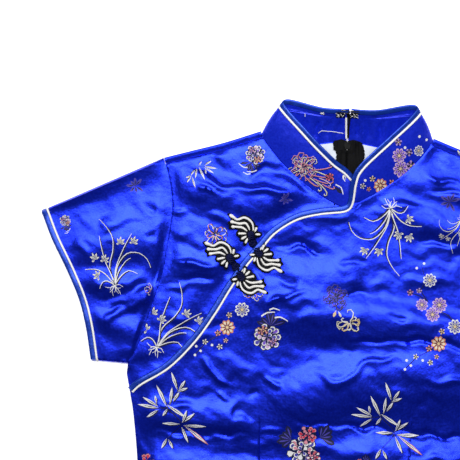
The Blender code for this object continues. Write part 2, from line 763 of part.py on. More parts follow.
def collar_ribs(over):
    rows = [*COLLAR_BACK_RIBS, *(OVER_FRONT_RIBS if over else UNDER_FRONT_RIBS)]
    side = 1 if over else -1
    return np.array([
        (side * r.seam_x, r.seam_y, r.seam_z, side * r.top_x, r.top_y, r.top_z) for r in rows
    ])


def collar_surface(over):
    """Seam points, top points, facing direction and the share of height where the binding starts."""
    ribs = through(collar_ribs(over), COLLAR_STEP)
    seam, top = ribs[:, :3], ribs[:, 3:]
    rise = top - seam
    long = np.linalg.norm(rise, axis=1)
    way = rise / long[:, None]
    along = np.gradient(top, axis=0)
    along /= np.linalg.norm(along, axis=1)[:, None]
    slant = np.sqrt(1 - np.clip((along * way).sum(1), -MOST_SLANT, MOST_SLANT) ** 2)
    seam_along = np.gradient((seam + top) / 2, axis=0)
    facing = np.cross(way, seam_along) * (1 if over else -1)
    facing /= np.linalg.norm(facing, axis=1)[:, None]
    for _ in range(2):
        padded = np.pad(facing, ((1, 1), (0, 0)), mode="edge")
        facing = padded[:-2] + 2 * padded[1:-1] + padded[2:]
        facing /= np.linalg.norm(facing, axis=1)[:, None]
    binding = 1 - BINDING_WIDTH / slant / long
    return seam, top, facing, np.clip(binding, LEAST_BINDING, MOST_BINDING), long


def collar_half(name, over):
    """Half of the standing collar, up to its binding."""
    seam, top, facing, binding, long = collar_surface(over)
    rows_out, rows_in = [], []
    for share in COLLAR_SHARES:
        height = share * (binding - GAP / long)
        middle = seam + (top - seam) * height[:, None]
        middle = middle + facing * (COLLAR_BELLY * math.sin(math.pi * share * BELLY_TO))
        rows_out.append(middle + facing * COLLAR_THICK / 2)
        rows_in.append(middle - facing * COLLAR_THICK / 2)
    faces = grid_faces(len(COLLAR_SHARES), len(seam))
    return wall(name, np.vstack(rows_out), np.vstack(rows_in), faces, BLUE_SATIN)


def collar_edge(side_name, over):
    """The binding and the piping along the collar's top edge."""
    seam, top, facing, binding, long = collar_surface(over)
    inner = seam + (top - seam) * (binding + GAP / long)[:, None]
    band(f"collar_binding_{side_name}", inner, top, facing, BINDING_THICK, BINDING_BLUE)
    lift = BINDING_THICK / 2 + 2 * GAP + PIPING / 2
    line = seam + (top - seam) * binding[:, None] + facing * lift
    tube(f"collar_piping_{side_name}", line, PIPING / 2, WHITE_CORD)


# What lies on the panels

ABOVE_ALL = 100.0
AROUND_SHARES = (0.3, 0.5, 0.8, 1.0)
AROUND_TURNS = 10
PLACKET_PROBE = 2.5
PLACKET_REACH = 3.5
BINDING_TILT = 0.2


class Relief:
    """Finds the top of what is already built, at points on the garment's plane."""

    def __init__(self, *made):
        self.trees = []
        for thing in made:
            points = [v.co / MM for v in thing.data.vertices]
            self.trees.append(BVHTree.FromPolygons(points, [tuple(p.vertices) for p in thing.data.polygons]))

    def top(self, x, y):
        found = []
        for tree in self.trees:
            hit = tree.ray_cast(Vector((x, y + TABLE_Y, ABOVE_ALL)), Vector((0.0, 0.0, -1.0)))
            if hit[0]:
                found.append(hit[0].z)
        return max(found, default=None)

    def around(self, x, y, reach, belly=0.0):
        """The highest top within reach of a point, for a flat foot or one that rises by belly to its edge."""
        tops = [self.top(x, y)]
        for share in AROUND_SHARES:
            rise = belly * (1 - math.sqrt(1 - share**2))
            for angle in np.arange(AROUND_TURNS) * 2 * math.pi / AROUND_TURNS:
                top = self.top(x + share * reach * math.cos(angle), y + share * reach * math.sin(angle))
                tops.append(None if top is None else top - rise)
        return max((t for t in tops if t is not None), default=FRONT_BASE)


def placket_trim(relief):
    """The binding and the piping along the placket."""
    line = through(PLACKET, PLACKET_STEP)
    slope = np.gradient(line, axis=0)
    slope /= np.linalg.norm(slope, axis=1)[:, None]
    out = np.stack([slope[:, 1], -slope[:, 0]], axis=1)
    highest = np.array([relief.around(*(p + o * PLACKET_PROBE), PLACKET_REACH) for p, o in zip(line, out)])
    level = np.convolve(np.pad(highest, 1, mode="edge"), (0.25, 0.5, 0.25), mode="valid")
    level = np.maximum(level, highest) + GAP
    inner = np.column_stack([line + out * GAP, level + BINDING_THICK / 2])
    outer = np.column_stack([line + out * (BINDING_WIDTH + GAP), level + BINDING_THICK / 2 - BINDING_TILT])
    up = np.tile((0.0, 0.0, 1.0), (len(line), 1))
    binding = band("placket_binding", inner, outer, up, BINDING_THICK, BINDING_BLUE)
    cord = np.column_stack([line - out * PIPING / 2, level + PIPING / 2])
    return binding, tube("placket_piping", cord, PIPING / 2, WHITE_CORD)


# The frogs: leaves of folded striped satin round a rosette, counted from the rosette's centre

WING_OUTLINE = (
    Spot(-22.4, 22.4), Spot(-17.2, 18.6), Spot(-14.0, 17.0), Spot(-7.6, 20.2), Spot(-1.0, 18.2),
    Spot(3.8, 13.2), Spot(5.6, 9.6), Spot(8.0, 8.8), Spot(7.4, 3.6), Spot(11.8, 1.8),
    Spot(11.6, -2.2), Spot(6.4, -3.6), Spot(1.4, -5.0), Spot(-2.6, -7.0), Spot(-4.2, -11.6),
    Spot(-7.4, -11.0), Spot(-7.8, -7.4), Spot(-11.4, -6.6), Spot(-11.4, -3.6), Spot(-15.0, -1.0),
    Spot(-15.0, 2.8), Spot(-13.2, 4.6), Spot(-17.4, 6.0), Spot(-22.4, 5.4), Spot(-22.6, 9.2),
    Spot(-24.2, 12.4), Spot(-20.8, 15.2), Spot(-22.8, 18.2), Spot(-24.6, 21.0),
)
WING_ARMS = (
    (Spot(2.6, 3.4), Spot(2.7, 7.4), Spot(1.3, 12.2), Spot(-2.7, 16.0), Spot(-7.4, 17.4),
     Spot(-14.2, 14.6), Spot(-18.0, 16.8), Spot(-21.8, 20.4)),
    (Spot(-1.2, 4.2), Spot(-2.8, 8.0), Spot(-6.0, 11.6), Spot(-12.0, 12.0), Spot(-21.6, 12.2)),
    (Spot(-3.6, 3.0), Spot(-8.7, 6.2), Spot(-13.0, 8.4), Spot(-20.6, 7.4)),
    (Spot(-4.4, 0.8), Spot(-13.2, 0.9)),
    (Spot(-4.2, -1.9), Spot(-9.8, -5.1)),
    (Spot(-3.0, -4.0), Spot(-5.6, -9.6)),
    (Spot(4.8, 0.0), Spot(10.2, -0.2)),
    (Spot(4.2, 2.4), Spot(6.6, 7.4)),
)
ARM_HALF = 0.75
ARM_TIP_HALF = 1.25
ARM_THICK = 0.8
ARM_STEP = 6.0
ARM_REACH = 2.0
WING_THICK = 2.2
WING_GRID = 5.0
WING_REACH = 4.0
WING_EDGE = 3.5
WING_EDGE_SHARE = 0.6
Wing = namedtuple("Wing", "name x y turn")
WINGS = (
    Wing("upper_right", -97.3, -106.5, 2.5),
    Wing("lower_right", -118.4, -131.6, 14.5),
    Wing("upper_left", -87.1, -126.9, 187.5),
    Wing("lower_left", -104.6, -152.4, 194.5),
)
Knot = namedtuple("Knot", "name x y")
KNOTS = (
    Knot("frog_knot_upper", -94.4, -115.4),
    Knot("frog_knot_lower", -110.8, -141.4),
)
KNOT_RADIUS = 3.4
KNOT_SQUASH = 0.8
KNOT_RINGS = 6
KNOT_SIDES = 9


def placed(spots, wing):
    angle = math.radians(wing.turn)
    turned = np.array(((math.cos(angle), -math.sin(angle)), (math.sin(angle), math.cos(angle))))
    return np.array(spots) @ turned.T + (wing.x, wing.y)


def frog_wing(wing, relief):
    """One wing of a frog: the padded dark ground of the folded ribbon."""
    outline = counter_clockwise(placed(WING_OUTLINE, wing))
    plan, faces = triangles_over(outline, WING_GRID)
    under = np.array([relief.around(*p, WING_REACH) for p in plan]) + GAP
    ring = np.vstack([outline, outline[:1]])
    crown = WING_EDGE_SHARE + (1 - WING_EDGE_SHARE) * smooth_step(distance_to(ring, plan) / WING_EDGE)
    outer = np.column_stack([plan, under + WING_THICK * crown])
    inner = np.column_stack([plan, under])
    return wall(f"frog_wing_{wing.name}", outer, inner, faces, BLACK_SATIN)


def arms_outline():
    """The outline of the white folds: out along one side of each arm, round its tip and back."""
    arms = sorted(WING_ARMS, key=lambda arm: math.atan2(arm[0].y, arm[0].x))
    outline = []
    for arm in arms:
        middle = through(arm, ARM_STEP)
        slope = np.gradient(middle, axis=0)
        slope /= np.linalg.norm(slope, axis=1)[:, None]
        left = np.stack([-slope[:, 1], slope[:, 0]], axis=1)
        half = np.linspace(ARM_HALF, ARM_TIP_HALF, len(middle))[:, None]
        tip = middle[-1] + slope[-1] * ARM_TIP_HALF
        outline += [*(middle - left * half), tip, *(middle + left * half)[::-1]]
    return outline


def frog_stripes(wing, relief):
    """The white folds of one wing, joined round the rosette."""
    outline = counter_clockwise(placed(arms_outline(), wing))
    plan, faces = triangles_over(outline, WING_GRID)
    under = np.array([relief.around(*p, ARM_REACH) for p in plan]) + GAP
    outer = np.column_stack([plan, under + ARM_THICK])
    inner = np.column_stack([plan, under])
    return wall(f"frog_stripes_{wing.name}", outer, inner, faces, WHITE_CORD)


def frog_knot(knot, relief):
    """The ball button of a frog, a flattened knot."""
    tall = KNOT_RADIUS * KNOT_SQUASH
    base = relief.around(knot.x, knot.y, KNOT_RADIUS, tall) + GAP
    points = [(knot.x, knot.y, base)]
    for ring in range(1, KNOT_RINGS):
        angle = math.pi * ring / KNOT_RINGS
        reach, rise = KNOT_RADIUS * math.sin(angle), tall * (1 - math.cos(angle))
        for turn in np.arange(KNOT_SIDES) * 2 * math.pi / KNOT_SIDES:
            points.append((knot.x + reach * math.cos(turn), knot.y + reach * math.sin(turn), base + rise))
    points.append((knot.x, knot.y, base + 2 * tall))
    faces = [tuple(1 + i for i in f) for f in grid_faces(KNOT_RINGS - 1, KNOT_SIDES, closed=True)]
    final = len(points) - 1
    for side in range(KNOT_SIDES):
        after = (side + 1) % KNOT_SIDES
        faces.append((0, 1 + after, 1 + side))
        faces.append((final, final - KNOT_SIDES + side, final - KNOT_SIDES + after))
    return facing_out(add_solid(knot.name, points, faces, KNOT_BLUE))


# Inside the back: the lining that shows in the neck, and the zip

LINING_COLUMNS = (22.0, 30.0, 40.0, 50.0, 60.0, 70.0)
LINING_TURNS = (0, 15, 30, 45, 60, 72)
LINING_BELOW_NECK = 1.6
LINING_TOP = -18.0
LINING_ROWS = 8
ZIP_FINE_TO = -80.0
ZIP_FINE_STEP = 9.0
ZIP_COARSE = (-200.0, -320.0)
PULL_SHOULDER = 4.0
PULL_CORNER = Spot(1.2, 2.0)

# The wires of the hook and the eye: across, down the collar and away from it
WirePoint = namedtuple("WirePoint", "x drop rise")
EYE = (
    WirePoint(6.0, 1.6, 0.0), WirePoint(2.2, 1.6, 0.0), WirePoint(0.7, 2.3, 0.0), WirePoint(0.2, 3.3, 0.0),
    WirePoint(0.7, 4.3, 0.0), WirePoint(2.2, 5.0, 0.0), WirePoint(6.0, 5.0, 0.0),
)
HOOK = (
    WirePoint(-6.4, 3.3, 0.0), WirePoint(-3.2, 3.3, 0.0), WirePoint(-1.6, 3.3, 0.8),
    WirePoint(0.2, 3.3, 1.3), WirePoint(1.7, 3.3, 1.0), WirePoint(2.3, 3.3, 0.2),
)


def flat_piece(name, outline, low, thick, colour, step):
    """A piece of cloth or tape that lies flat, lifted with the back near the top of the zip."""
    outline = counter_clockwise(np.array(outline, float))
    plan, faces = triangles_over(outline, step)
    under = low + neck_lift(plan[:, 0], plan[:, 1])
    outer = np.column_stack([plan, under + thick])
    inner = np.column_stack([plan, under])
    return wall(name, outer, inner, faces, colour)


def lining(name, side):
    """One side of the lining behind the zip, as deep as the neck shows it."""
    inner_x = TAPE_HALF + GAP
    neck_x, neck_y = BACK_NECKS[1].T
    outline = [(x, np.interp(x, neck_x, neck_y) - LINING_BELOW_NECK) for x in (inner_x, *LINING_COLUMNS)]
    outline += [
        (LINING_HALF * math.cos(a), -LINING_SIDE - (LINING_DROP - LINING_SIDE) * math.sin(a))
        for a in np.radians(LINING_TURNS)
    ]
    outline += [(inner_x, y) for y in np.linspace(-LINING_DROP, LINING_TOP, LINING_ROWS)]
    outline = [(side * x, y) for x, y in outline]
    flat_piece(name, outline, INSIDE_LOW, TRIM_THICK, WHITE_LINING, LINING_STEP)


def zip_levels():
    """Levels down the zip from the slider's end, close together where the back is lifted."""
    slider_end = ZIP_TOP - SLIDER_LONG - GAP
    return [*np.arange(slider_end, ZIP_FINE_TO, -ZIP_FINE_STEP), *ZIP_COARSE, ZIP_TOP - ZIP_LONG]


def zip_tape(name, side):
    """Half of the zip's tape, cut away beside the slider."""
    beside_chain, beside_slider = side * (CHAIN_HALF + GAP), side * (SLIDER_HALF + GAP)
    far = side * TAPE_HALF
    levels = zip_levels()
    near = [(beside_slider, ZIP_TOP), (beside_slider, levels[0]), *((beside_chain, y) for y in levels)]
    outline = [*near, *((far, y) for y in reversed(levels)), (far, ZIP_TOP)]
    flat_piece(name, outline, INSIDE_LOW, TRIM_THICK, BLACK_TAPE, NO_INNER_POINTS)


def prism(name, outline, z_low, z_high, colour, lifted=False):
    """An upright prism over an outline."""
    outline = counter_clockwise(np.array(outline, float))
    plan, faces = triangles_over(outline, NO_INNER_POINTS)
    lift = neck_lift(plan[:, 0], plan[:, 1]) if lifted else np.zeros(len(plan))
    outer = np.column_stack([plan, z_high + lift])
    inner = np.column_stack([plan, z_low + lift])
    return wall(name, outer, inner, faces, colour)


def zip_chain():
    """The closed coil, between the tapes."""
    levels = zip_levels()
    right = [(CHAIN_HALF, y) for y in levels]
    left = [(-CHAIN_HALF, y) for y in reversed(levels)]
    prism("zip_chain", [*right, *left], INSIDE_LOW, INSIDE_LOW + CHAIN_THICK, BLACK_TAPE, lifted=True)


def zip_slider():
    """The slider inside, with the neck that passes between the back panels to the pull's lug."""
    low = INSIDE_LOW + NECK_LIFT
    profile = (
        Spot(-SLIDER_HALF, low), Spot(-SLIDER_HALF, low + SLIDER_THICK),
        Spot(SLIDER_HALF, low + SLIDER_THICK), Spot(SLIDER_HALF, low),
        Spot(LUG_HALF, low), Spot(LUG_HALF, LUG_LOW),
        Spot(-LUG_HALF, LUG_LOW), Spot(-LUG_HALF, low),
    )
    ends = (ZIP_TOP, ZIP_TOP - SLIDER_LONG)
    points = [(spot.x, y, spot.y) for y in ends for spot in profile]
    size = len(profile)
    faces = [(i, (i + 1) % size, (i + 1) % size + size, i + size) for i in range(size)]
    faces += [(0, 1, 2, 3, 4, 7), (4, 5, 6, 7), (15, 12, 11, 10, 9, 8), (15, 14, 13, 12)]
    facing_out(add_solid("zip_slider", points, faces, STEEL, smooth=False))


def zip_pull():
    """The pull tab under the back: a tongue with two ears beside the slider's lug."""
    ear_in, ear_out = LUG_HALF + GAP, LUG_HALF + GAP + EAR_WIDE
    root_y = PULL_Y - PULL_ROOT
    end_y = PULL_Y - PULL_LONG
    right = [
        (ear_in, root_y), (ear_in, PULL_Y + EAR_REACH), (ear_out, PULL_Y + EAR_REACH), (ear_out, root_y),
        (PULL_HALF, root_y - PULL_SHOULDER), (PULL_HALF, end_y + PULL_CORNER.y),
        (PULL_HALF - PULL_CORNER.x, end_y),
    ]
    outline = [*right, *((-x, y) for x, y in reversed(right))]
    made = prism("zip_pull", outline, PULL_Z - PULL_THICK / 2, PULL_Z + PULL_THICK / 2, STEEL)
    pivot = Vector((0.0, PULL_Y + TABLE_Y, PULL_Z)) * MM
    for vertex in made.data.vertices:
        vertex.co -= pivot
    made.location = pivot


def hook_and_eye():
    """A wire hook on the right end of the collar, closed over the eye on the left end."""
    seam, top, facing, _, long = collar_surface(True)
    seam, top, inward = seam[0], top[0], -facing[0]
    down = (seam - top) / long[0]
    base = BINDING_THICK / 2 + GAP + WIRE

    for name, route in (("eye", EYE), ("hook", HOOK)):
        path = [
            (spot.x, top[1], top[2]) + (down * spot.drop + inward * (base + spot.rise)) * (0, 1, 1)
            for spot in route
        ]
        tube(name, through(path, WIRE_STEP), WIRE, STEEL)


def main():
    for thing in list(bpy.data.objects):
        bpy.data.objects.remove(thing)
    under = front_panel("front_shoulder_right", UNDER_OUTLINE, under_height)
    front = front_panel("front_main", MAIN_OUTLINE, main_height)
    collars = {}
    for side, name in ((1, "left"), (-1, "right")):
        back_panel(f"back_{name}", side)
        sleeve(f"sleeve_{name}", side)
        cuff_edge(name, side)
        collars[side] = collar_half(f"collar_{name}", side > 0)
        collar_edge(name, side > 0)
        lining(f"lining_{name}", side)
        zip_tape(f"zip_tape_{name}", side)
    zip_chain()
    zip_slider()
    zip_pull()
    hook_and_eye()
    trim = placket_trim(Relief(under, front, collars[-1]))
    ground = (under, front, *trim)
    wings = [frog_wing(wing, Relief(*ground)) for wing in WINGS]
    stripes = [frog_stripes(wing, Relief(*wings)) for wing in WINGS]
    for knot in KNOTS:
        frog_knot(knot, Relief(*ground, *wings, *stripes))


main()
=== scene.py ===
"""The looks of a short-sleeved satin brocade top with a mandarin collar, laid out flat.

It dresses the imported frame. Each cloth solid gets a thin shell with its creases and woven flowers,
and the edges, frogs, zip, lining and stitches get pieces of their own.

Lengths in the tables are millimetres in the garment's own plane: +X to the wearer's left, +Y to
the neck, +Z up from the table, counted from the side neck point.
"""

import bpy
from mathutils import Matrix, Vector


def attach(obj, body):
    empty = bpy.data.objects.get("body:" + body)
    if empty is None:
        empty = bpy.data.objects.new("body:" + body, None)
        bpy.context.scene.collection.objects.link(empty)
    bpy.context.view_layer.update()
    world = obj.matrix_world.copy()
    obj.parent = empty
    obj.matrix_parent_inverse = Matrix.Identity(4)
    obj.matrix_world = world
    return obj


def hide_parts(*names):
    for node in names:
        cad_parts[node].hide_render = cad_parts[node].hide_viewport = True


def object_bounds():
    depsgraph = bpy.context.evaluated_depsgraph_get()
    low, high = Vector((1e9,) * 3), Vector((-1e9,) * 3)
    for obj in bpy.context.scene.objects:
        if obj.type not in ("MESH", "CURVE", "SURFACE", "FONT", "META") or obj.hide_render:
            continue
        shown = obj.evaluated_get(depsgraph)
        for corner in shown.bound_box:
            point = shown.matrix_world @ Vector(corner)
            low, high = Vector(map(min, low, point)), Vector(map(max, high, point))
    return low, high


bl_info = {
    "name": "Brocade Top",
    "version": (1, 0, 0),
    "blender": (4, 5, 0),
    "location": "View3D > Sidebar > Brocade Top",
    "description": "Dresses the frame of a mandarin collar brocade top in satin, edges, frogs and a zip",
    "category": "Object",
}

import math
from collections import namedtuple

import bpy
import numpy as np
from mathutils import Vector
from mathutils.bvhtree import BVHTree
from mathutils.geometry import delaunay_2d_cdt

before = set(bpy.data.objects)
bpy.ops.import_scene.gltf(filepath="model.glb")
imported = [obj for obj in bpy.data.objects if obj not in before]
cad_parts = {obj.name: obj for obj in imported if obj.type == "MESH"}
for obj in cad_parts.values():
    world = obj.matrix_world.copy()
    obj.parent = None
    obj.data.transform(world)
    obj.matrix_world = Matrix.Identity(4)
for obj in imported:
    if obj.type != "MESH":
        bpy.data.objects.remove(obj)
CAD_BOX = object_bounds()
MM = 0.001

# Driving dimensions, as in the frame
LENGTH = 600.0
NECK_HALF = 90.5
FRONT_NECK_DROP = 74.5
SHOULDER_TURN = 8.0
SHOULDER_SLOPE = math.radians(15)
GAP = 0.3
BINDING_WIDTH = 5.5
BINDING_THICK = 2.0
PIPING = 1.8
FLAP_UNDER = 22.0
TABLE_Y = LENGTH + CAD_BOX[0].y / MM
GARMENT, PULL = "garment", "pull"

# Heights of the layers above the table
FLOOR_CLOTH = 1.2
INSIDE_LOW = FLOOR_CLOTH + GAP
SIDE_RIM = 2.3
OVER_LINING = 4.0
NECK_LIFT = 3.2
NECK_LIFT_HALF = 55.0
FRONT_BASE = 5.8
HEM_RIM = 3.4
SHOULDER_RADIUS = 2.6
SHOULDER_RIM = 2 * SHOULDER_RADIUS
ARMHOLE_RIM = 4.7
NECK_RIM_OVER = 7.4
NECK_RIM_UNDER = 4.8
PLACKET_RIM = 6.8
FLAP_CLEARANCE = 2.1
SLEEVE_RADIUS = 2.2
SLEEVE_BASE = 6.2
CUFF_TOP = 5.8

EDGE_STEP = 5.0
CORD_RADIUS = PIPING / 2 + 0.3
UP = (0.0, 0.0, 1.0)
HALVES = ((1, "left"), (-1, "right"))

Station = namedtuple("Station", "drop half")
Spot = namedtuple("Spot", "x y")


def rows(kind, *table):
    """The rows of a table as named values."""
    return tuple(kind(*row) for row in table)


NECK_FRONT = rows(
    Station,
    (1, NECK_HALF), (17.5, 77.5), (36.5, 59.5), (51, 40.5), (65, 19), (FRONT_NECK_DROP, 0),
)
NECK_BACK = rows(
    Station,
    (2.6, 0), (5, 14), (7.7, 30), (8, 50), (5, 70), (0.6, NECK_HALF - 0.6),
)
SHOULDER = rows(
    Station,
    (-2.6, NECK_HALF), (11, 128), (20.5, 160), (30, 192),
)
ARMHOLE = rows(
    Station,
    (30, 192), (50, 185.3), (80, 180.4), (115, 183.4), (152, 189), (190, 199.5), (228, 211), (248, 219),
)
SIDE = rows(
    Station,
    (248, 219), (257, 221), (276, 217), (300, 212), (348, 206), (400, 202), (470, 207), (540, 217),
    (LENGTH, 225),
)
CUFF = rows(
    Station,
    (91, 318), (119, 306), (148, 290.5), (177, 276.5), (206, 267), (246, 259),
)
PLACKET = rows(
    Spot,
    (12, -68.6), (10.2, -73.2), (6, -76.4), (-1, -78.2), (-27, -81.8), (-50, -88.6), (-71.5, -103),
    (-85, -119), (-100, -138), (-116, -163), (-131, -190), (-151, -220.5), (-177, -249), (-205, -267.5),
    (-214.5, -276.5),
)

# The largest folds of the front: a crest from one end to the other, bowed sideways by bow,
# rising over the width before it and falling over the width after it (down the garment).
Fold = namedtuple("Fold", "x0 y0 x1 y1 bow before after height")
FRONT_FOLDS = rows(
    Fold,
    (-62, -280, 150, -258, -20, 32, 56, 9), (-100, -173, 160, -206, -3, 28, 46, 8),
    (-200, -296, -86, -302, 4, 28, 26, 5), (-172, -52, -50, -60, 12, 26, 30, 5.5),
    (60, -38, 180, -62, 6, 24, 24, 4), (40, -74, 172, -98, 4, 28, 28, 5),
    (-176, -135, -122, -144, 3, 26, 26, 3.6), (-62, -150, 20, -140, 6, 28, 28, 4.5),
    (70, -232, 196, -216, 8, 28, 30, 5), (-190, -352, 20, -366, 8, 30, 32, 6.5),
    (0, -338, 190, -350, -10, 30, 30, 6.5), (-150, -430, -120, -590, 6, 28, 30, 6),
    (-55, -440, -40, -596, -8, 30, 30, 6.5), (45, -425, 62, -594, 8, 28, 34, 6),
    (140, -420, 152, -590, -6, 28, 28, 5.5),
)
FOLD_LIMIT = 10.0

# Finer creases: a line, the widths over which the cloth rises on its left and falls on its right
# as the line is walked, and the height. A negative height is a trough.
Crease = namedtuple("Crease", "path before after rise")
FRONT_CREASES = rows(
    Crease,
    (((-2.8, -213.5), (22.5, -213.4), (42.4, -213.6), (67.6, -213), (96, -213.9), (134, -217),
     (169.8, -218.6)), 8, 3.2, -2.4),
    (((-33.1, -240), (-15.8, -251.9), (-0.8, -258.6), (13.6, -250.6), (25.7, -239.6), (40.2, -234.2),
     (61.1, -231.2), (78.1, -235.2)), 3.5, 8, 1.6),
    (((-58.1, -293.7), (-32.6, -301), (1.2, -304.7), (26.5, -306.8), (55.9, -306.6), (89.7, -308.2),
     (138.1, -310.3), (173.9, -310.9)), 8, 3.2, -2.4),
    (((-108.3, -300.1), (-94.8, -295.3), (-79, -297.7)), 12, 7, -2.2),
    (((-92.5, -276.2), (-86.3, -273.9), (-78.9, -274.6)), 6, 5, -1.5),
    (((-82, -252.7), (-72.2, -260.6), (-55.1, -266.2)), 5, 9, 1.8),
    (((-148.9, -236.7), (-125, -253.5), (-103.4, -268.3)), 5, 7, 1.9),
    (((-128.5, -270.5), (-118.8, -276.3), (-107.9, -284.3)), 2.5, 6, 1.6),
    (((-206.3, -318), (-172.6, -318.6), (-135.9, -317), (-103.5, -314.6), (-81.5, -312.6)),
     11, 3.5, -2.6),
    (((-80.6, -309.4), (-68, -308.8), (-51.2, -307)), 4, 5, 1.6),
    (((-4.3, -129.5), (10.4, -129.9), (27.1, -127)), 6, 4, -1.4),
    (((44.3, -185.1), (59.1, -185.5), (73.7, -183.9)), 6, 4, -1.4),
    (((3.5, -164.9), (16.2, -165.4), (30.8, -163.7)), 5, 4, -1.2),
    (((70.1, -101), (93.4, -104.2), (129.2, -105.8)), 15, 5, -3),
    (((-78.4, -118), (-61.5, -119.3), (-41.6, -117.4), (-25.5, -125.1), (-10.7, -128.7)), 12, 3.5, -2.8),
    (((-68.5, -152.2), (-53.7, -153.7), (-43.3, -151.1)), 9, 6, -1.8),
    (((-81.2, -174.9), (-59.4, -169.2), (-50.2, -163), (-32.3, -162.2)), 3.5, 6, 1.8),
    (((-46.5, -78.8), (-14.8, -81.6), (8.6, -89)), 8, 9, 1.4),
    (((30.5, -60.7), (56, -68), (83.5, -71)), 8, 8, 1.3),
    (((77.8, -37.6), (98.9, -38.8), (130.7, -43.7)), 3.5, 4, 1.2),
    (((82.7, -52.1), (105.8, -53.2), (133.3, -57.2)), 6, 3.5, -1.4),
    (((-53.9, -198.9), (-28.9, -191.5), (4.5, -187.9), (34.2, -192.9)), 10, 12, 1.8),
    (((-96.3, -141.9), (-83, -156), (-75.9, -174.6)), 7, 9, 1.4),
    (((-130.2, -231.6), (-110.9, -241.3), (-91.8, -244.7)), 8, 9, 1.4),
    (((59.4, -145.6), (87, -150.7), (116.2, -145.2)), 9, 9, 1.5),
    (((-195.2, -282.8), (-174, -288.2), (-146.7, -287)), 8, 8, 1.5),
    (((87, -247.4), (108.2, -250.7), (139.5, -247.2)), 8, 8, 1.5),
    (((-35.8, -324.2), (6.5, -328.7), (48.3, -324.8)), 8, 9, 1.4),
    (((70, -338.5), (101.2, -333), (143.4, -335.3)), 8, 9, 1.4),
    (((136, -165.4), (167.9, -174.5), (199.2, -168.9)), 12, 6, -2.2),
    (((138.4, -125.3), (165.5, -119.9), (195.3, -127.1)), 9, 9, 1.8),
    (((151, -269.8), (180.9, -279), (214.3, -273.4)), 14, 6, -2.4),
    (((148.9, -316.2), (173.9, -310.9), (205.6, -315.8)), 9, 9, 1.8),
    (((-190.9, -381.4), (-148.6, -388), (-100.6, -379.6)), 16, 6, -2.6),
    (((-79.4, -385), (-33.6, -374.6), (19.2, -380.7)), 12, 12, 2),
    (((40.6, -388.1), (93.4, -394.3), (145.4, -381.5)), 16, 6, -2.6),
    (((-167.7, -430.9), (-159.6, -472.6), (-165.7, -525.4)), 12, 12, 2.2),
    (((-104.8, -428.1), (-91.6, -490.6), (-93, -553.7)), 10, 14, 2.2),
    (((0.1, -423.5), (-5.5, -486.9), (5.6, -549.4)), 12, 12, 2),
    (((105, -419), (118.2, -481.5), (116.8, -544.6)), 12, 10, 2.2),
    (((178, -405.3), (174.4, -468.5), (187.7, -531)), 12, 12, 2),
)
SHOULDER_CREASES = rows(
    Crease,
    (((-110.6, -54.2), (-98.4, -45.3), (-84.2, -34.2), (-69.4, -35.6), (-53.2, -44.4), (-34.8, -57.2),
     (-17.4, -70.1)), 8, 10, -2.4),
    (((-172.3, -38), (-153, -46.6), (-132.7, -54.8), (-116.8, -57.6), (-100, -56.6)), 3.5, 6, 1.9),
    (((-159, -53.2), (-144, -59.9), (-129, -65.5)), 3, 5, 1.4),
    (((-129.5, -54), (-108.4, -57.3), (-87.3, -59.5), (-66.1, -62.8), (-44.8, -69.2)), 7, 8, 2.2),
    (((-180.9, -81.5), (-170.2, -85.2), (-159.5, -90)), 3, 6, 1.5),
    (((-180.7, -134), (-165.9, -134.9), (-151.1, -138), (-129.8, -144.4)), 3.5, 9, 2.2),
    (((-181.8, -156.1), (-152.3, -158), (-123, -155.7)), 9, 5, -1.8),
    (((-189.7, -169.1), (-175, -167.4), (-158.4, -163.5)), 6, 7, 1.6),
    (((-151.2, -87.5), (-127.8, -92.8), (-102.5, -95.9)), 8, 9, 1.5),
    (((-175.6, -107.5), (-154.2, -115), (-135.1, -118.4)), 8, 7, 1.4),
    (((-184.5, -192), (-171.6, -197.7), (-154.7, -199.1)), 7, 8, 1.4),
    (((-141.7, -15.6), (-130.8, -25.7), (-113.5, -35.4)), 7, 8, 1.4),
    (((-192, -211.2), (-179.1, -219.1), (-164.2, -222.6)), 6, 8, 1.3),
)
SLEEVE_CREASES = rows(
    Crease,
    (((-214.8, -75.6), (-206.1, -81.5), (-195.3, -88.4)), 8, 6, -2),
    (((-210.9, -115.4), (-202.6, -113.9), (-194.3, -110.4)), 6, 5, -1.8),
    (((-257.2, -115.3), (-243.1, -102), (-226.6, -92.9), (-211.8, -96.5)), 14, 10, 2.2),
    (((-260.6, -182.7), (-235.5, -178.4), (-214.9, -170.2), (-200.6, -159.1), (-191, -139.7),
     (-186.9, -112.2)), 14, 9, -2.6),
    (((-257.4, -207.8), (-230.6, -194), (-195.6, -177.8)), 6, 9, 2.4),
    (((-247.2, -198.9), (-232.8, -192), (-218.3, -187.2)), 5, 6, -1.4),
    (((-286.6, -116.6), (-275.5, -128.7), (-266.5, -143)), 8, 8, 1.4),
    (((-273.6, -172.7), (-261.3, -165.9), (-249.1, -157)), 7, 7, 1.3),
)

SleeveFold = namedtuple("SleeveFold", "at0 at1 before after height")
SLEEVE_FOLDS = rows(
    SleeveFold,
    (0.38, 0.32, 0.25, 0.13, 3.8), (0.66, 0.50, 0.12, 0.12, 3.8), (0.86, 0.74, 0.10, 0.10, 2.6),
)

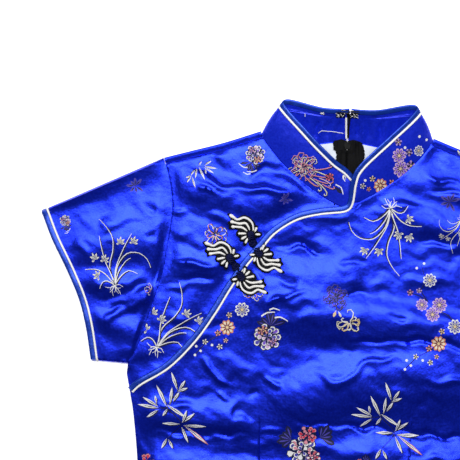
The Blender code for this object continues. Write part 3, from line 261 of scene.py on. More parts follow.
# Collar stations, from centre back round the side fold to centre front: the seam and the top edge
Rib = namedtuple("Rib", "seam_x seam_y seam_z top_x top_y top_z")
COLLAR_BACK_RIBS = rows(
    Rib,
    (1, -1.8, 4.4, 1, 28, 22), (14, -4.2, 4, 13, 27.4, 21.6), (30, -6.8, 2.8, 28, 28, 20.6),
    (46, -7.2, 1.7, 41, 30.6, 19.6), (62, -5.4, 1.5, 53.5, 33.6, 18.6), (78, -1.6, 2, 63.5, 35.4, 18),
    (86.8, 1.2, 3, 68.3, 34.6, 18.4), (89.5, 0.2, 4.4, 69.4, 31.4, 19.4), (86.8, -4.4, 6, 65.8, 26, 21),
)
OVER_FRONT_RIBS = rows(
    Rib,
    (81, -12, 7.6, 58, 17.5, 23), (70.5, -24.6, 8.1, 46.5, 6, 24), (57.5, -37.4, 8.3, 35, -5.6, 24),
    (44, -47.6, 8.4, 23.6, -17, 23.5), (32, -56, 8.4, 14, -27.2, 22.3),
    (23.5, -61.2, 8.4, 7.4, -36.6, 20.5), (18.5, -64.2, 8.4, 4.4, -47, 17.5),
    (14.8, -66.4, 8.4, 3.2, -57, 14), (12.4, -67.8, 8.4, 2.6, -64.8, 11.6),
)
UNDER_FRONT_RIBS = rows(
    Rib,
    (81, -11.6, 6.6, 58, 17.5, 22), (70.5, -24.2, 6.4, 46.5, 6, 22.6), (57.5, -37, 6.1, 35, -5.6, 22.4),
    (43, -48.6, 5.9, 22.5, -17, 20.8), (28, -58.8, 5.8, 10.5, -27, 17.2),
    (12, -67.6, 5.7, 0, -33.5, 13.4), (1, -72, 5.6, -6, -38.8, 11.2),
    (-3.6, -72.6, 5.6, -10.6, -42.6, 9.6),
)


# Sizes and colours that a user would change


def length(name, description, millimetres):
    return bpy.props.FloatProperty(
        name=name, description=description, default=millimetres * MM, unit="LENGTH", precision=5
    )


def colour(name, description, red, green, blue):
    return bpy.props.FloatVectorProperty(
        name=name, description=description, default=(red, green, blue), subtype="COLOR", size=3
    )


class TopSizes(bpy.types.PropertyGroup):
    """Cloth and mesh sizes"""

    cloth: length("Cloth", "Thickness of the satin shells", 0.8)
    fine_step: length("Fine step", "Mesh step where folds are fine", 2.3)
    coarse_step: length("Coarse step", "Mesh step where the cloth lies calm", 5.0)
    yarn: length("Yarn", "Distance between the yarns of the satin", 0.45)


class TopColours(bpy.types.PropertyGroup):
    """Colours of the cloth, threads and trimmings"""

    satin: colour("Satin", "Ground of the brocade", 0.011, 0.045, 0.95)
    satin_deep: colour("Deep satin", "Darker parts of the ground", 0.003, 0.012, 0.55)
    binding: colour("Binding", "Bias strip", 0.007, 0.058, 0.56)
    piping: colour("Piping", "Cord beside the bias strip", 0.93, 0.92, 0.89)
    lining: colour("Lining", "White lining", 0.74, 0.80, 0.88)
    tape: colour("Tape", "Zip tape and coil", 0.0025, 0.0025, 0.003)
    silver: colour("Silver", "White thread of the flowers", 0.86, 0.86, 0.88)
    cream: colour("Cream", "Cream thread of the flowers", 0.78, 0.74, 0.58)
    purple: colour("Purple", "Purple thread of the flowers", 0.20, 0.09, 0.62)
    lilac: colour("Lilac", "Outlines of the purple flowers", 0.66, 0.46, 0.72)
    orange: colour("Orange", "Orange thread of the flowers", 0.78, 0.30, 0.16)
    gold: colour("Gold", "Gold thread of the flowers", 0.80, 0.60, 0.32)
    pink: colour("Pink", "Pink thread of the flowers", 0.72, 0.28, 0.36)
    red: colour("Red", "Red thread of the flowers", 0.62, 0.03, 0.07)
    # Dark also paints shadow: strokes offset beside pale leaves, petals and tendrils, and a bar along the
    # collar's back opening.
    dark: colour("Dark", "Dark thread of leaves and outlines", 0.004, 0.006, 0.06)
    dim: colour("Dim", "Violet thread that barely shows", 0.07, 0.06, 0.42)


class TopLights(bpy.types.PropertyGroup):
    """Camera and lamps"""

    camera_height: bpy.props.FloatProperty(
        name="Camera height", description="Camera above the table", default=1.105, unit="LENGTH"
    )
    key: bpy.props.FloatProperty(
        name="Key", description="Power of the large lamp beyond the neck", default=38.0, unit="POWER"
    )
    fill: bpy.props.FloatProperty(
        name="Fill", description="Brightness of the room", default=0.035, min=0.0
    )


# Plane geometry


def smooth_step(x):
    x = np.clip(x, 0.0, 1.0)
    return x * x * (3.0 - 2.0 * x)


def through(points, step):
    """A smooth curve through the points, as points about step apart."""
    p = np.array(points, float)
    padded = np.vstack([2 * p[0] - p[1], p, 2 * p[-1] - p[-2]])
    out = []
    for a, b, c, d in zip(padded[:-3], padded[1:-2], padded[2:-1], padded[3:]):
        count = max(1, math.ceil(np.linalg.norm(c - b) / step))
        for t in np.arange(count) / count:
            straight = 2 * b + (c - a) * t
            bend = (2 * a - 5 * b + 4 * c - d) * t**2 + (3 * b - a - 3 * c + d) * t**3
            out.append((straight + bend) / 2)
    out.append(p[-1])
    return np.array(out)


def stations(table, side):
    """A table's points on one side of the garment: 1 for the wearer's left, -1 for the right."""
    return [(side * row.half, -row.drop) for row in table]


def unit(vectors):
    return vectors / np.linalg.norm(vectors, axis=-1, keepdims=True)


def left_of(line):
    """The direction to the left of a line, at each of its points."""
    return unit(np.gradient(line, axis=0))[:, ::-1] * (-1.0, 1.0)


def looped(outline):
    """An outline with its first point again at its end."""
    return np.vstack([outline, outline[:1]])


def interpolated(wanted, known, values):
    """Rows of values at the wanted places, between those at the known ones."""
    return np.stack([np.interp(wanted, known, column) for column in values.T], axis=1)


def softened(line):
    """A line of heights, each mixed with its neighbours."""
    return np.convolve(np.pad(line, 1, mode="edge"), (0.25, 0.5, 0.25), mode="valid")


def reach_along(curve):
    """The distance along a line to each of its points."""
    steps = np.linalg.norm(np.diff(curve, axis=0), axis=1)
    return np.concatenate([[0.0], np.cumsum(steps)])


def at_shares(curve, shares):
    """Points at shares of a line's length."""
    reach = reach_along(curve)
    return interpolated(shares * reach[-1], reach, curve)


def nearest_on(curve, points):
    """Distance, side (true on the left) and share of the way along a line, for each point."""
    a, b = curve[:-1], curve[1:]
    run = b - a
    reach = reach_along(curve)
    away, left, share = [], [], []
    for chunk in np.array_split(points, max(1, len(points) * len(a) // 400000)):
        ahead = ((chunk[:, None] - a) * run).sum(2) / np.maximum((run**2).sum(1), 1e-9)
        ahead = np.clip(ahead, 0, 1)
        off = chunk[:, None] - (a + ahead[..., None] * run)
        square = (off**2).sum(2)
        k = square.argmin(1)
        i = np.arange(len(chunk))
        away.append(np.sqrt(square[i, k]))
        left.append(run[k, 0] * off[i, k, 1] - run[k, 1] * off[i, k, 0] > 0)
        share.append((reach[k] + ahead[i, k] * (reach[k + 1] - reach[k])) / reach[-1])
    return np.concatenate(away), np.concatenate(left), np.concatenate(share)


def distance_to(curve, points, reach=None):
    """The distance from each point to a line, counted only up to reach if that is given."""
    if reach is None:
        return nearest_on(curve, points)[0]
    away = np.full(len(points), float(reach))
    near = ((points > curve.min(0) - reach) & (points < curve.max(0) + reach)).all(1)
    if near.any():
        away[near] = np.minimum(nearest_on(curve, points[near])[0], reach)
    return away


def inside(polygon, points):
    """Which points lie inside a closed polygon."""
    a, b = polygon, np.roll(polygon, -1, axis=0)
    rise = np.where(b[:, 1] == a[:, 1], 1e-9, b[:, 1] - a[:, 1])
    found = []
    for chunk in np.array_split(points, max(1, len(points) * len(a) // 2000000)):
        x, y = chunk[:, 0][:, None], chunk[:, 1][:, None]
        straddles = (a[:, 1] > y) != (b[:, 1] > y)
        crossing = a[:, 0] + (y - a[:, 1]) * (b[:, 0] - a[:, 0]) / rise
        found.append((straddles & (x < crossing)).sum(1) % 2 == 1)
    return np.concatenate(found)


def doubled_area(polygon):
    """Twice the area of a polygon, positive when it runs counter-clockwise."""
    a, b = polygon, np.roll(polygon, -1, axis=0)
    return (a[:, 0] * b[:, 1] - b[:, 0] * a[:, 1]).sum()


def counter_clockwise(polygon):
    return polygon if doubled_area(polygon) > 0 else polygon[::-1]


def flat_area(polygon):
    """The area of a polygon in square metres."""
    return abs(doubled_area(polygon)) / 2 * MM * MM


def grid_over(outline, step):
    """Staggered points over an outline, clear of its edge."""
    low, high = outline.min(0), outline.max(0)
    lines = np.arange(low[1] + step / 2, high[1], step * 0.87)
    columns = np.arange(low[0], high[0], step)
    shift = np.where(np.arange(len(lines)) % 2, step / 2, 0.0)
    grid = np.stack([columns + shift[:, None], np.repeat(lines[:, None], len(columns), 1)], axis=2)
    grid = grid.reshape(-1, 2)
    grid = grid[inside(outline, grid)]
    return grid[distance_to(looped(outline), grid, step) > 0.45 * step]


class Ruled:
    """A surface ruled between two lines: along is a share of both, across goes from one to the other."""

    def __init__(self, start, end, shares=None):
        if shares is None:
            shares = np.linspace(0, 1, 240)
            start, end = at_shares(start, shares), at_shares(end, shares)
        self.start, self.end, self.shares = start, end, shares

    def ends(self, along):
        return [interpolated(along, self.shares, line) for line in (self.start, self.end)]

    def find(self, points):
        """Along and across of points given in the plan."""
        start, run = self.start[:, :2], (self.end - self.start)[:, :2]
        off = points[:, None] - start
        turn = run[:, 0] * off[..., 1] - run[:, 1] * off[..., 0]
        change = np.sign(turn[:, 1:]) != np.sign(turn[:, :-1])
        k = change.argmax(1)
        i = np.arange(len(points))
        missed = ~change.any(1)
        late = np.abs(turn[:, -1]) < np.abs(turn[:, 0])
        share = turn[i, k] / (turn[i, k] - turn[i, k + 1] + 1e-12)
        along = self.shares[k] + (self.shares[k + 1] - self.shares[k]) * share
        along = np.where(missed, np.where(late, self.shares[-1], self.shares[0]), along)
        low, high = self.ends(along)
        way = (high - low)[:, :2]
        across = ((points - low[:, :2]) * way).sum(1) / (way**2).sum(1)
        return along, across


# Solids of thin cloth, cords and strips


SHARP_ANGLE = math.radians(48)


def add_piece(name, points, faces, materials, slots=None, body=GARMENT):
    """A mesh piece from points in millimetres on the garment's plane, riding on a body."""
    mesh = bpy.data.meshes.new(name)
    world = (np.array(points, float) + (0.0, TABLE_Y, 0.0)) * MM
    mesh.from_pydata(world.tolist(), [], faces)
    for material in materials:
        mesh.materials.append(material)
    if slots is not None:
        mesh.polygons.foreach_set("material_index", np.array(slots, dtype=np.int32))
    mesh.shade_smooth()
    mesh.set_sharp_from_angle(angle=SHARP_ANGLE)
    mesh.validate()
    made = bpy.data.objects.new(name, mesh)
    bpy.context.scene.collection.objects.link(made)
    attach(made, body)
    return made


def tube_faces(count, size, ends="capped", start=0):
    """Faces of a tube of count rings with size points each: capped, joined into a ring or open."""
    final = (count - 1) * size
    faces = [
        (ring + i, ring + (i + 1) % size, ring + size + (i + 1) % size, ring + size + i)
        for ring in range(0, final, size)
        for i in range(size)
    ]
    if ends == "joined":
        faces += [(final + i, final + (i + 1) % size, (i + 1) % size, i) for i in range(size)]
    if ends == "capped":
        faces += [tuple(reversed(range(size))), tuple(range(final, final + size))]
    return [tuple(start + i for i in face) for face in faces]


def carried(path, across, up, section):
    """The points of a section of (across, up) steps carried along a path, ring by ring."""
    return [p + (a * s + u * t) for p, a, u in zip(path, across, up) for s, t in section]


def filled(outline, grid, shapes):
    """Triangles over an outline, cut along shapes: points, triangles and the last shape over each."""
    loops, start = [list(range(len(outline)))], len(outline) + len(grid)
    for shape in shapes:
        loops.append(list(range(start, start + len(shape))))
        start += len(shape)
    points = np.vstack([outline, grid, *shapes]) if shapes else np.vstack([outline, grid])
    made = delaunay_2d_cdt([Vector(p) for p in points], [], loops, 1, 1e-4)
    kept = [(f, max(source)) for f, source in zip(made[2], made[5]) if 0 in source]
    plan = np.array([tuple(p) for p in made[0]])
    return plan, [tuple(f) for f, _ in kept], [shape for _, shape in kept]


def woven_sheet(name, outline, grid, place, weave, motifs=(), outside_up=True, weld=False,
                body=GARMENT):
    """A thin closed shell of cloth with flowers woven in. place gives outer and inner points."""
    outline = counter_clockwise(outline)
    low, high = outline.min(0), outline.max(0)
    shapes = [m for m in motifs if (m.points.max(0) > low).all() and (m.points.min(0) < high).all()]
    plan, faces, over = filled(outline, grid, [counter_clockwise(m.points) for m in shapes])
    outer, inner = place(plan)
    if weld:
        faces, over = welded(outer, faces, over)
    count = len(plan)
    if not outside_up:
        faces = [tuple(reversed(f)) for f in faces]
    edges = {edge for a, b, c in faces for edge in ((a, b), (b, c), (c, a))}
    rim = [(b, a, a + count, b + count) for a, b in sorted(edges) if (b, a) not in edges]
    inner_faces = [(c + count, b + count, a + count) for a, b, c in faces]
    threads = sorted({m.thread for m in shapes})
    slots = [0 if shape == 0 else 2 + threads.index(shapes[shape - 1].thread) for shape in over]
    slots += [1] * len(inner_faces) + [0] * len(rim)
    materials = [weave(), weave(), *(thread_finish(t) for t in threads)]
    return add_piece(name, np.vstack([outer, inner]), [*faces, *inner_faces, *rim], materials, slots, body)


def welded(points, faces, over):
    """Joins points that lie on each other, as where a sleeve closes at the underarm."""
    first, target = {}, []
    for i, key in enumerate(map(tuple, np.round(points, 3))):
        target.append(first.setdefault(key, i))
    joined_faces = [(tuple(target[i] for i in f), shape) for f, shape in zip(faces, over)]
    whole = [(f, shape) for f, shape in joined_faces if len(set(f)) == 3]
    return [f for f, _ in whole], [shape for _, shape in whole]


def facing_out(made):
    """Turns a closed mesh's faces outwards."""
    mesh = made.data
    mesh.calc_loop_triangles()
    corners = np.array([tuple(v.co) for v in mesh.vertices])
    triangles = np.array([tuple(t.vertices) for t in mesh.loop_triangles])
    a, b, c = (corners[triangles[:, i]] for i in range(3))
    if (a * np.cross(b, c)).sum() < 0:
        mesh.flip_normals()
    return made


def round_section(radius, sides):
    turns = np.arange(sides) * 2 * math.pi / sides
    return [(radius * math.cos(t), radius * math.sin(t)) for t in turns]


def sideways(path):
    """For each point of a path, the level direction across it and the direction up from it."""
    along = unit(np.gradient(np.array(path, float), axis=0))
    across = np.cross(along, UP)
    across = unit(across + (1e-9, 0.0, 0.0))
    return across, np.cross(across, along)


def cord(name, path, radius, material, sides=10, axis=None):
    """A round cord along a path, or round a closed ring whose axis is given."""
    path = np.array(path, float)
    if axis is None:
        across, up = sideways(path)
    else:
        along = unit(np.roll(path, -1, axis=0) - np.roll(path, 1, axis=0))
        across = np.tile(axis, (len(path), 1)).astype(float)
        across = unit(across - (across * along).sum(1)[:, None] * along)
        up = np.cross(across, along)
    points = carried(path, across, up, round_section(radius, sides))
    faces = tube_faces(len(path), sides, "capped" if axis is None else "joined")
    return facing_out(add_piece(name, points, faces, [material]))


def strip(name, inner, outer, up, section, material):
    """A strip between two lines, its section in shares of the way across and steps up."""
    points = [
        a + (b - a) * share + n * rise
        for a, b, n in zip(inner, outer, up)
        for share, rise in section
    ]
    return facing_out(add_piece(name, points, tube_faces(len(inner), len(section)), [material]))


class Relief:
    """Finds the top of pieces at points on the garment's plane."""

    def __init__(self, *made):
        self.trees = []
        for thing in made:
            count = len(thing.data.vertices)
            flat = np.empty(count * 3)
            thing.data.vertices.foreach_get("co", flat)
            points = (flat.reshape(-1, 3) / MM).tolist()
            polygons = [tuple(p.vertices) for p in thing.data.polygons]
            self.trees.append(BVHTree.FromPolygons(points, polygons))

    def top(self, x, y):
        found = []
        for tree in self.trees:
            hit = tree.ray_cast(Vector((x, y + TABLE_Y, 100.0)), Vector((0.0, 0.0, -1.0)))
            if hit[0]:
                found.append(hit[0].z)
        return max(found, default=None)

    def around(self, x, y, reach):
        """The highest top within reach of a point."""
        tops = [self.top(x, y)]
        for ring in (reach / 2, reach):
            for angle in np.arange(8) * 2 * math.pi / 8:
                tops.append(self.top(x + ring * math.cos(angle), y + ring * math.sin(angle)))
        return max((t for t in tops if t is not None), default=FRONT_BASE)


# Materials


class Value:
    """A socket whose arithmetic adds Math nodes."""

    def __init__(self, finish, socket):
        self.finish, self.socket = finish, socket

    def maths(self, operation, first, second):
        return self.finish.node("ShaderNodeMath", {"operation": operation}, {0: first, 1: second})

    def __add__(self, other):
        return self.maths("ADD", self, other)

    def __sub__(self, other):
        return self.maths("SUBTRACT", self, other)

    def __rsub__(self, other):
        return self.maths("SUBTRACT", other, self)

    def __mul__(self, other):
        return self.maths("MULTIPLY", self, other)

    __radd__ = __add__
    __rmul__ = __mul__


class Finish:
    """A material under construction."""

    def __init__(self, name, **settings):
        self.material = bpy.data.materials.new(name)
        self.material.use_nodes = True
        self.tree = self.material.node_tree
        self.shader = self.tree.nodes["Principled BSDF"]
        for key, value in settings.items():
            self.socket(key).default_value = value

    def socket(self, key):
        return self.shader.inputs[key.replace("_", " ").title().replace("Ior", "IOR")]

    def node(self, kind, settings, inputs, output=0):
        made = self.tree.nodes.new(kind)
        for key, value in settings.items():
            if key == "stops":
                self.set_stops(made.color_ramp, value)
            else:
                setattr(made, key, value)
        for key, value in inputs.items():
            self.connect(value, made.inputs[key])
        return Value(self, made.outputs[output])

    def set_stops(self, ramp, stops):
        while len(ramp.elements) < len(stops):
            ramp.elements.new(1.0)
        for element, (position, shade) in zip(ramp.elements, stops):
            element.position = position
            element.color = (*shade, 1.0)

    def connect(self, value, socket):
        if isinstance(value, Value):
            self.tree.links.new(value.socket, socket)
        elif socket.type == "RGBA" and len(value) == 3:
            socket.default_value = (*value, 1.0)
        else:
            socket.default_value = value

    def place(self):
        return self.node("ShaderNodeTexCoord", {}, {}, "Object")

    def noise(self, size_mm, detail=2.0):
        """Soft random values, with grains about size_mm across."""
        inputs = {"Vector": self.place(), "Scale": 1 / (size_mm * MM), "Detail": detail}
        return self.node("ShaderNodeTexNoise", {}, inputs)

    def mix(self, share, first, second):
        inputs = {"Factor": share, 6: first, 7: second}
        return self.node("ShaderNodeMix", {"data_type": "RGBA"}, inputs, 2)

    def shaded(self, share, tint, dark):
        """A tint, darkened by the factor dark where share is 0."""
        return self.mix(share, tuple(c * dark for c in tint), tuple(tint))

    def ramp(self, value, stops):
        return self.node("ShaderNodeValToRGB", {"stops": stops}, {"Fac": value})

    def waves(self, size_mm, direction, distortion=0.0):
        """Parallel ridges size_mm apart."""
        settings = {"wave_type": "BANDS", "bands_direction": direction}
        inputs = {"Vector": self.place(), "Scale": math.pi / 10 / (size_mm * MM), "Distortion": distortion}
        return self.node("ShaderNodeTexWave", settings, inputs, "Fac")

    def bump(self, height, depth_mm, normal=None):
        inputs = {"Height": height, "Distance": depth_mm * MM, "Strength": 1.0}
        if normal is not None:
            inputs["Normal"] = normal
        return self.node("ShaderNodeBump", {}, inputs)

    def wear(self, **inputs):
        """Links the shader's own varying sockets and returns the material."""
        for key, value in inputs.items():
            self.connect(value, self.socket(key))
        return self.material


FINISHES = {}


def kept(make):
    """Makes a material once and returns the same one after that."""

    def found(*args):
        key = (make.__name__, *args)
        if key not in FINISHES:
            FINISHES[key] = make(*args)
        return FINISHES[key]

    return found


def colours():
    return bpy.context.scene.top_colours


def yarn_mm():
    return bpy.context.scene.top_sizes.yarn / MM


@kept
def brocade(name, metallic):
    """Royal blue satin: long floats that shine along the cloth, over a soft uneven ground."""
    finish = Finish(name, metallic=metallic, coat_weight=0.03, coat_roughness=0.3)
    mottle = finish.noise(2.2, 4.0)
    broad = finish.noise(40.0, 2.0)
    share = mottle * 0.9 + broad * 0.45 - 0.25
    shade = finish.mix(share, tuple(colours().satin_deep), tuple(colours().satin))
    floats = finish.waves(yarn_mm(), "X", 0.6)
    crumple = finish.bump(finish.noise(9.0, 4.0), 0.6)
    weave = finish.bump(floats, 0.02, crumple)
    return finish.wear(base_color=shade, roughness=mottle * 0.2 + 0.25, normal=weave)


def brocade_ground():
    return brocade("brocade_ground", 0.84)


def stiffened_brocade():
    """The collar's brocade, which stands up and is lit from all round."""
    return brocade("stiffened_brocade", 0.45)


@kept
def thread_finish(name):
    """Floss of the woven flowers, in short slanting floats."""
    finish = Finish(f"thread_{name}", specular_ior_level=0.25)
    floats = finish.waves(0.7, "DIAGONAL", 1.5)
    shade = finish.shaded(floats * 0.45 + finish.noise(2.0) * 0.5, getattr(colours(), name), 0.62)
    return finish.wear(base_color=shade, roughness=floats * 0.15 + 0.42, normal=finish.bump(floats, 0.12))


@kept
def binding_satin():
    finish = Finish("binding_satin", metallic=0.5, specular_ior_level=0.5)
    uneven = finish.noise(6.0, 3.0)
    shade = finish.shaded(uneven, colours().binding, 0.45)
    floats = finish.waves(yarn_mm(), "DIAGONAL", 0.4)
    weave = finish.bump(floats, 0.02, finish.bump(finish.noise(4.0), 0.25))
    return finish.wear(base_color=shade, roughness=uneven * 0.15 + 0.32, normal=weave)


@kept
def piping_cord():
    finish = Finish("piping_cord", specular_ior_level=0.3)
    twist = finish.waves(1.1, "DIAGONAL", 0.8)
    shade = finish.shaded(twist * 0.6 + finish.noise(3.0) * 0.4, colours().piping, 0.8)
    return finish.wear(base_color=shade, roughness=twist * 0.1 + 0.5, normal=finish.bump(twist, 0.08))


@kept
def plain_cloth(name, tint_name, rough):
    """Plain weave, for the lining, the zip's tape and coil, and the sewing thread."""
    finish = Finish(name, specular_ior_level=0.12)
    weft, warp = finish.waves(0.6, "X", 0.3), finish.waves(0.6, "Y", 0.3)
    shade = finish.shaded(finish.noise(8.0, 3.0), getattr(colours(), tint_name), 0.7)
    woven = finish.bump(weft * warp, 0.06, finish.bump(finish.noise(9.0), 0.5))
    return finish.wear(base_color=shade, roughness=weft * 0.1 + rough, normal=woven)


def zip_cloth():
    return plain_cloth("zip_cloth", "tape", 0.7)


# Red, green, blue and roughness of what the frogs are made of
FROG_SHADES = {
    "frog_ribbon": (0.0012, 0.0012, 0.004, 0.6),
    "frog_stripe": (0.92, 0.91, 0.88, 0.45),
    "frog_knot": (0.002, 0.004, 0.050, 0.5),
}


@kept
def frog_satin(name):
    *tint, rough = FROG_SHADES[name]
    finish = Finish(name, specular_ior_level=0.12)
    floats = finish.waves(0.5, "DIAGONAL", 0.6)
    shade = finish.shaded(finish.noise(2.5, 3.0), tint, 0.6)
    return finish.wear(base_color=shade, roughness=floats * 0.12 + rough, normal=finish.bump(floats, 0.05))


@kept
def metal(name, shade, rough, metallic, shine=0.5):
    finish = Finish(name, metallic=metallic, specular_ior_level=shine)
    worn = finish.noise(1.5, 4.0)
    bumped = finish.bump(worn, 0.02)
    tint = finish.shaded(worn, (shade,) * 3, 0.75)
    return finish.wear(base_color=tint, roughness=worn * 0.2 + rough, normal=bumped)


@kept
def paper_floor():
    finish = Finish("paper_floor", roughness=0.9, emission_strength=0.55)
    grain = finish.noise(30.0, 2.0)
    shade = finish.ramp(grain, ((0.0, (0.93, 0.93, 0.93)), (1.0, (0.96, 0.96, 0.96))))
    return finish.wear(base_color=shade, emission_color=shade, normal=finish.bump(grain, 0.02))


# Flowers and leaves woven into the cloth


Motif = namedtuple("Motif", "points thread")


def petal(x, y, turn, long, wide, thread, blunt=0.5):
    """A petal or leaf from its root outwards; blunt moves its widest part towards the tip."""
    shares = np.array((0.0, 0.25, 0.55, 0.82, 1.0))
    half = wide / 2 * np.sin(math.pi * shares ** (1.0 + blunt))
    right = np.stack([shares * long, half], axis=1)
    left = np.stack([shares[1:-1][::-1] * long, -half[1:-1][::-1]], axis=1)
    return Motif(turned(np.vstack([right, left]), x, y, turn), thread)


def petals(x, y, turn, blunt, *layers):
    """Petals on one root: layers of (long, wide, thread), each over the last."""
    return [petal(x, y, turn, long, wide, thread, blunt) for long, wide, thread in layers]


def turned(points, x, y, turn, size=1.0):
    angle = math.radians(turn)
    way = np.array(((math.cos(angle), math.sin(angle)), (-math.sin(angle), math.cos(angle))))
    return np.asarray(points, float) * size @ way + (x, y)


def stroke(path, wide, thread, taper=0.75):
    """A thin stem or outline along a path, tapered to its end."""
    line = through(path, 6.0)
    half = wide / 2 * (1 - taper * np.linspace(0, 1, len(line)) ** 2)[:, None]
    across = left_of(line)
    return Motif(np.vstack([line + across * half, (line - across * half)[::-1]]), thread)


def disc(x, y, radius, thread, sides=7):
    turns = np.arange(sides) * 2 * math.pi / sides
    return Motif(np.stack([x + radius * np.cos(turns), y + radius * np.sin(turns)], axis=1), thread)


def moved(motifs, x, y, turn=0.0, size=1.0):
    return [Motif(turned(m.points, x, y, turn, size), m.thread) for m in motifs]


def floret(x, y, radius, rim, heart, turn):
    """A round blossom: narrow outlined petals about a dark heart."""
    made = [disc(x, y, radius * 0.9, "dark", 12)]
    count = 9 if radius > 5 else 5
    for i in range(count):
        angle = turn + i * 360 / count
        way = np.array((math.cos(math.radians(angle)), math.sin(math.radians(angle)))) * radius * 0.14
        made.append(petal(x + way[0], y + way[1], angle, radius * 0.9, radius * 0.52, rim, 0.9))
        x_root, y_root = x + 2.2 * way[0], y + 2.2 * way[1]
        made.append(petal(x_root, y_root, angle, radius * 0.54, radius * 0.3, heart, 0.7))
    return [*made, disc(x, y, radius * 0.2, "gold", 6)]


def blossoms(places, turning, buds):
    """Blossoms at (x, y, radius, rim, heart), each turned by its place, and silver buds."""
    made = []
    for x, y, radius, rim, heart in places:
        made += floret(x, y, radius, rim, heart, x * turning)
    return made + [disc(x, y, 1.5, "silver", 6) for x, y in buds]


def cluster(x, y, radius, rim, hearts, lobes):
    """A full flower: rows of blunt petals, pale only at their edges, with dark between them."""
    made = [disc(x, y, radius * 0.9, "dark", 14)]
    rings = ((lobes, 0.46, 0.56), (lobes * 2 // 3, 0.24, 0.46), (4, 0.04, 0.36))
    for row, (count, start, long) in enumerate(rings):
        for i in range(count):
            angle = 30.0 + (i + 0.5 * row) * 360 / count + (9, -6, 3)[i % 3]
            reach = start * radius * (1.0, 0.86, 1.1)[i % 3]
            px = x + reach * math.cos(math.radians(angle))
            py = y + reach * 0.9 * math.sin(math.radians(angle))
            heart, size = hearts[(i + row) % len(hearts)], long * radius
            made += petals(px, py, angle, 1.0, (size * 1.1, size, "dark"), (size, size * 0.82, rim),
                           (size * 0.86, size * 0.54, heart))
    return made


# A curled petal: shares of its reach, and how far round it bends there
CURL = ((0.12, 0.0), (0.45, 0.10), (0.78, 0.30), (0.97, 0.58), (0.92, 0.88), (0.76, 0.90))


def curls(x, y, radius, threads, count, turn=90.0, spread=330.0, wide=1.0):
    """Narrow petals that curl over at their tips, each with a painted shadow offset beside it."""
    made = []
    for i in range(count):
        angle = math.radians(turn + (i - (count - 1) / 2) * spread / count)
        reach = radius * (1.0, 0.66, 0.84)[i % 3]
        hook = (1.0, -0.8, 0.7, -1.0)[i % 4]
        path = [
            (x + reach * s * math.cos(angle + b * hook), y + reach * s * math.sin(angle + b * hook))
            for s, b in CURL
        ]
        # A wider dark stroke, shifted to one side of each petal: painted shadow.
        made.append(stroke([(p + 0.5, q - 0.5) for p, q in path], wide + 0.5, "dark", 0.4))
        made.append(stroke(path, wide, threads[i % len(threads)], 0.4))
    return made


def tendril(x, y, turn, long, hook, thread):
    """A long thin petal that bends and curls in at its tip, with a painted shadow offset beside it."""
    way = ((0, 0), (0.35, 0.04), (0.68, 0.13), (0.9, 0.27), (0.97, 0.42), (0.9, 0.54), (0.8, 0.48))
    path = turned([(a * long, b * long * hook) for a, b in way], x, y, turn)
    # The first stroke is a wider dark copy, shifted to one side: painted shadow.
    return [stroke(path + (0.5, -0.6), 1.7, "dark", 0.3), stroke(path, 1.0, thread, 0.3)]


# Each pattern is drawn about its own root, in millimetres
ORCHID_LEAVES = (
    ((0, 0), (-5, 20), (0, 36), (1, 50), (-5, 62), (-13, 71)),
    ((-1, 6), (-9, 24), (-12, 38), (-14, 53)),
    ((0, 0), (2, 18), (10, 34), (16, 44), (23, 54)),
    ((0, 0), (4, 20), (16, 33), (30, 33), (39, 26), (42.5, 17)),
    ((0, 0), (5, 14), (14, 25), (20, 28)),
    ((-1, 2), (-11, 13), (-22, 18), (-33.5, 18)),
    ((-1, 1), (-8, 5), (-14, 4), (-18, -3)),
    ((1, 2), (8, 10), (17, 15), (27, 11)),
)
ORCHID_FLOWERS = ((-21, 28, 100), (-11, 26, 60), (-18, 10, 150), (9, 44, 70), (24, 44, 60))
PLUM_STEMS = (
    ((0, 0), (12, 12), (26, 20), (35, 28), (37, 42), (50, 46)),
    ((50, 46), (44, 56), (32, 62), (22, 70), (14, 82), (18, 92), (13, 108)),
    ((22, 70), (12, 76), (2, 78)),
)
PLUM_BLOSSOMS = (
    (15.5, 66.5, 6.4, "lilac", "purple"), (34.0, 67.0, 8.0, "lilac", "purple"),
    (26.5, 57.0, 7.4, "lilac", "purple"), (2.8, 78.6, 3.4, "pink", "dim"),
    (12.0, 81.0, 3.0, "lilac", "purple"), (22.5, 92.5, 7.2, "silver", "dim"),
    (50.0, 45.5, 7.6, "silver", "dim"), (34.0, 27.0, 8.0, "orange", "cream"),
    (24.0, 21.5, 3.4, "pink", "orange"), (36.5, 40.0, 3.2, "cream", "orange"),
    (10.4, 12.5, 3.0, "silver", "cream"), (25.6, 7.0, 3.2, "silver", "cream"),
    (32.0, 13.4, 2.8, "pink", "cream"),
)
PLUM_BUDS = ((16.0, 109.8), (8.4, 104.7), (1.0, 8.2), (5.4, 3.2), (-0.6, -1.0), (17.6, 9.0))
BAMBOO_LEAVES = (
    (-5.8, 34.8, -13.0, 53.7), (-4.4, 34.8, 2.0, 45.8), (-5.8, 33.4, 4.9, 37.7),
    (-16.0, 17.4, -28.0, 39.0), (-13.0, 20.0, -11.6, 37.7), (-10.0, 23.0, -3.8, 33.0),
    (-24.6, 17.4, -42.0, 26.0), (-24.6, 16.0, -47.0, 18.0), (-27.0, 20.0, -29.0, 28.4),
    (-24.6, 14.5, -36.8, 5.2), (-16.0, 20.0, 4.4, 7.3), (-1.5, 0.0, -20.3, 0.0),
    (0.0, 1.5, 13.6, 12.2), (1.5, -1.5, 26.0, -1.5), (0.0, -2.9, 7.8, -19.7),
    (3.0, -2.0, 29.0, -20.9), (-14.5, -16.0, -20.0, -26.7), (-13.0, -17.0, -8.0, -26.5),
    (-15.0, 16.0, -20.0, 8.0), (1.0, 2.0, 5.0, 15.0),
)
PINK_LEAF = 15
BAMBOO_STEMS = (
    ((-5, 35), (-10, 26), (-15, 17), (-6, 8), (0, 0), (-8, -10), (-14, -16)),
    ((-15, 17), (-20, 16), (-26, 16)),
)


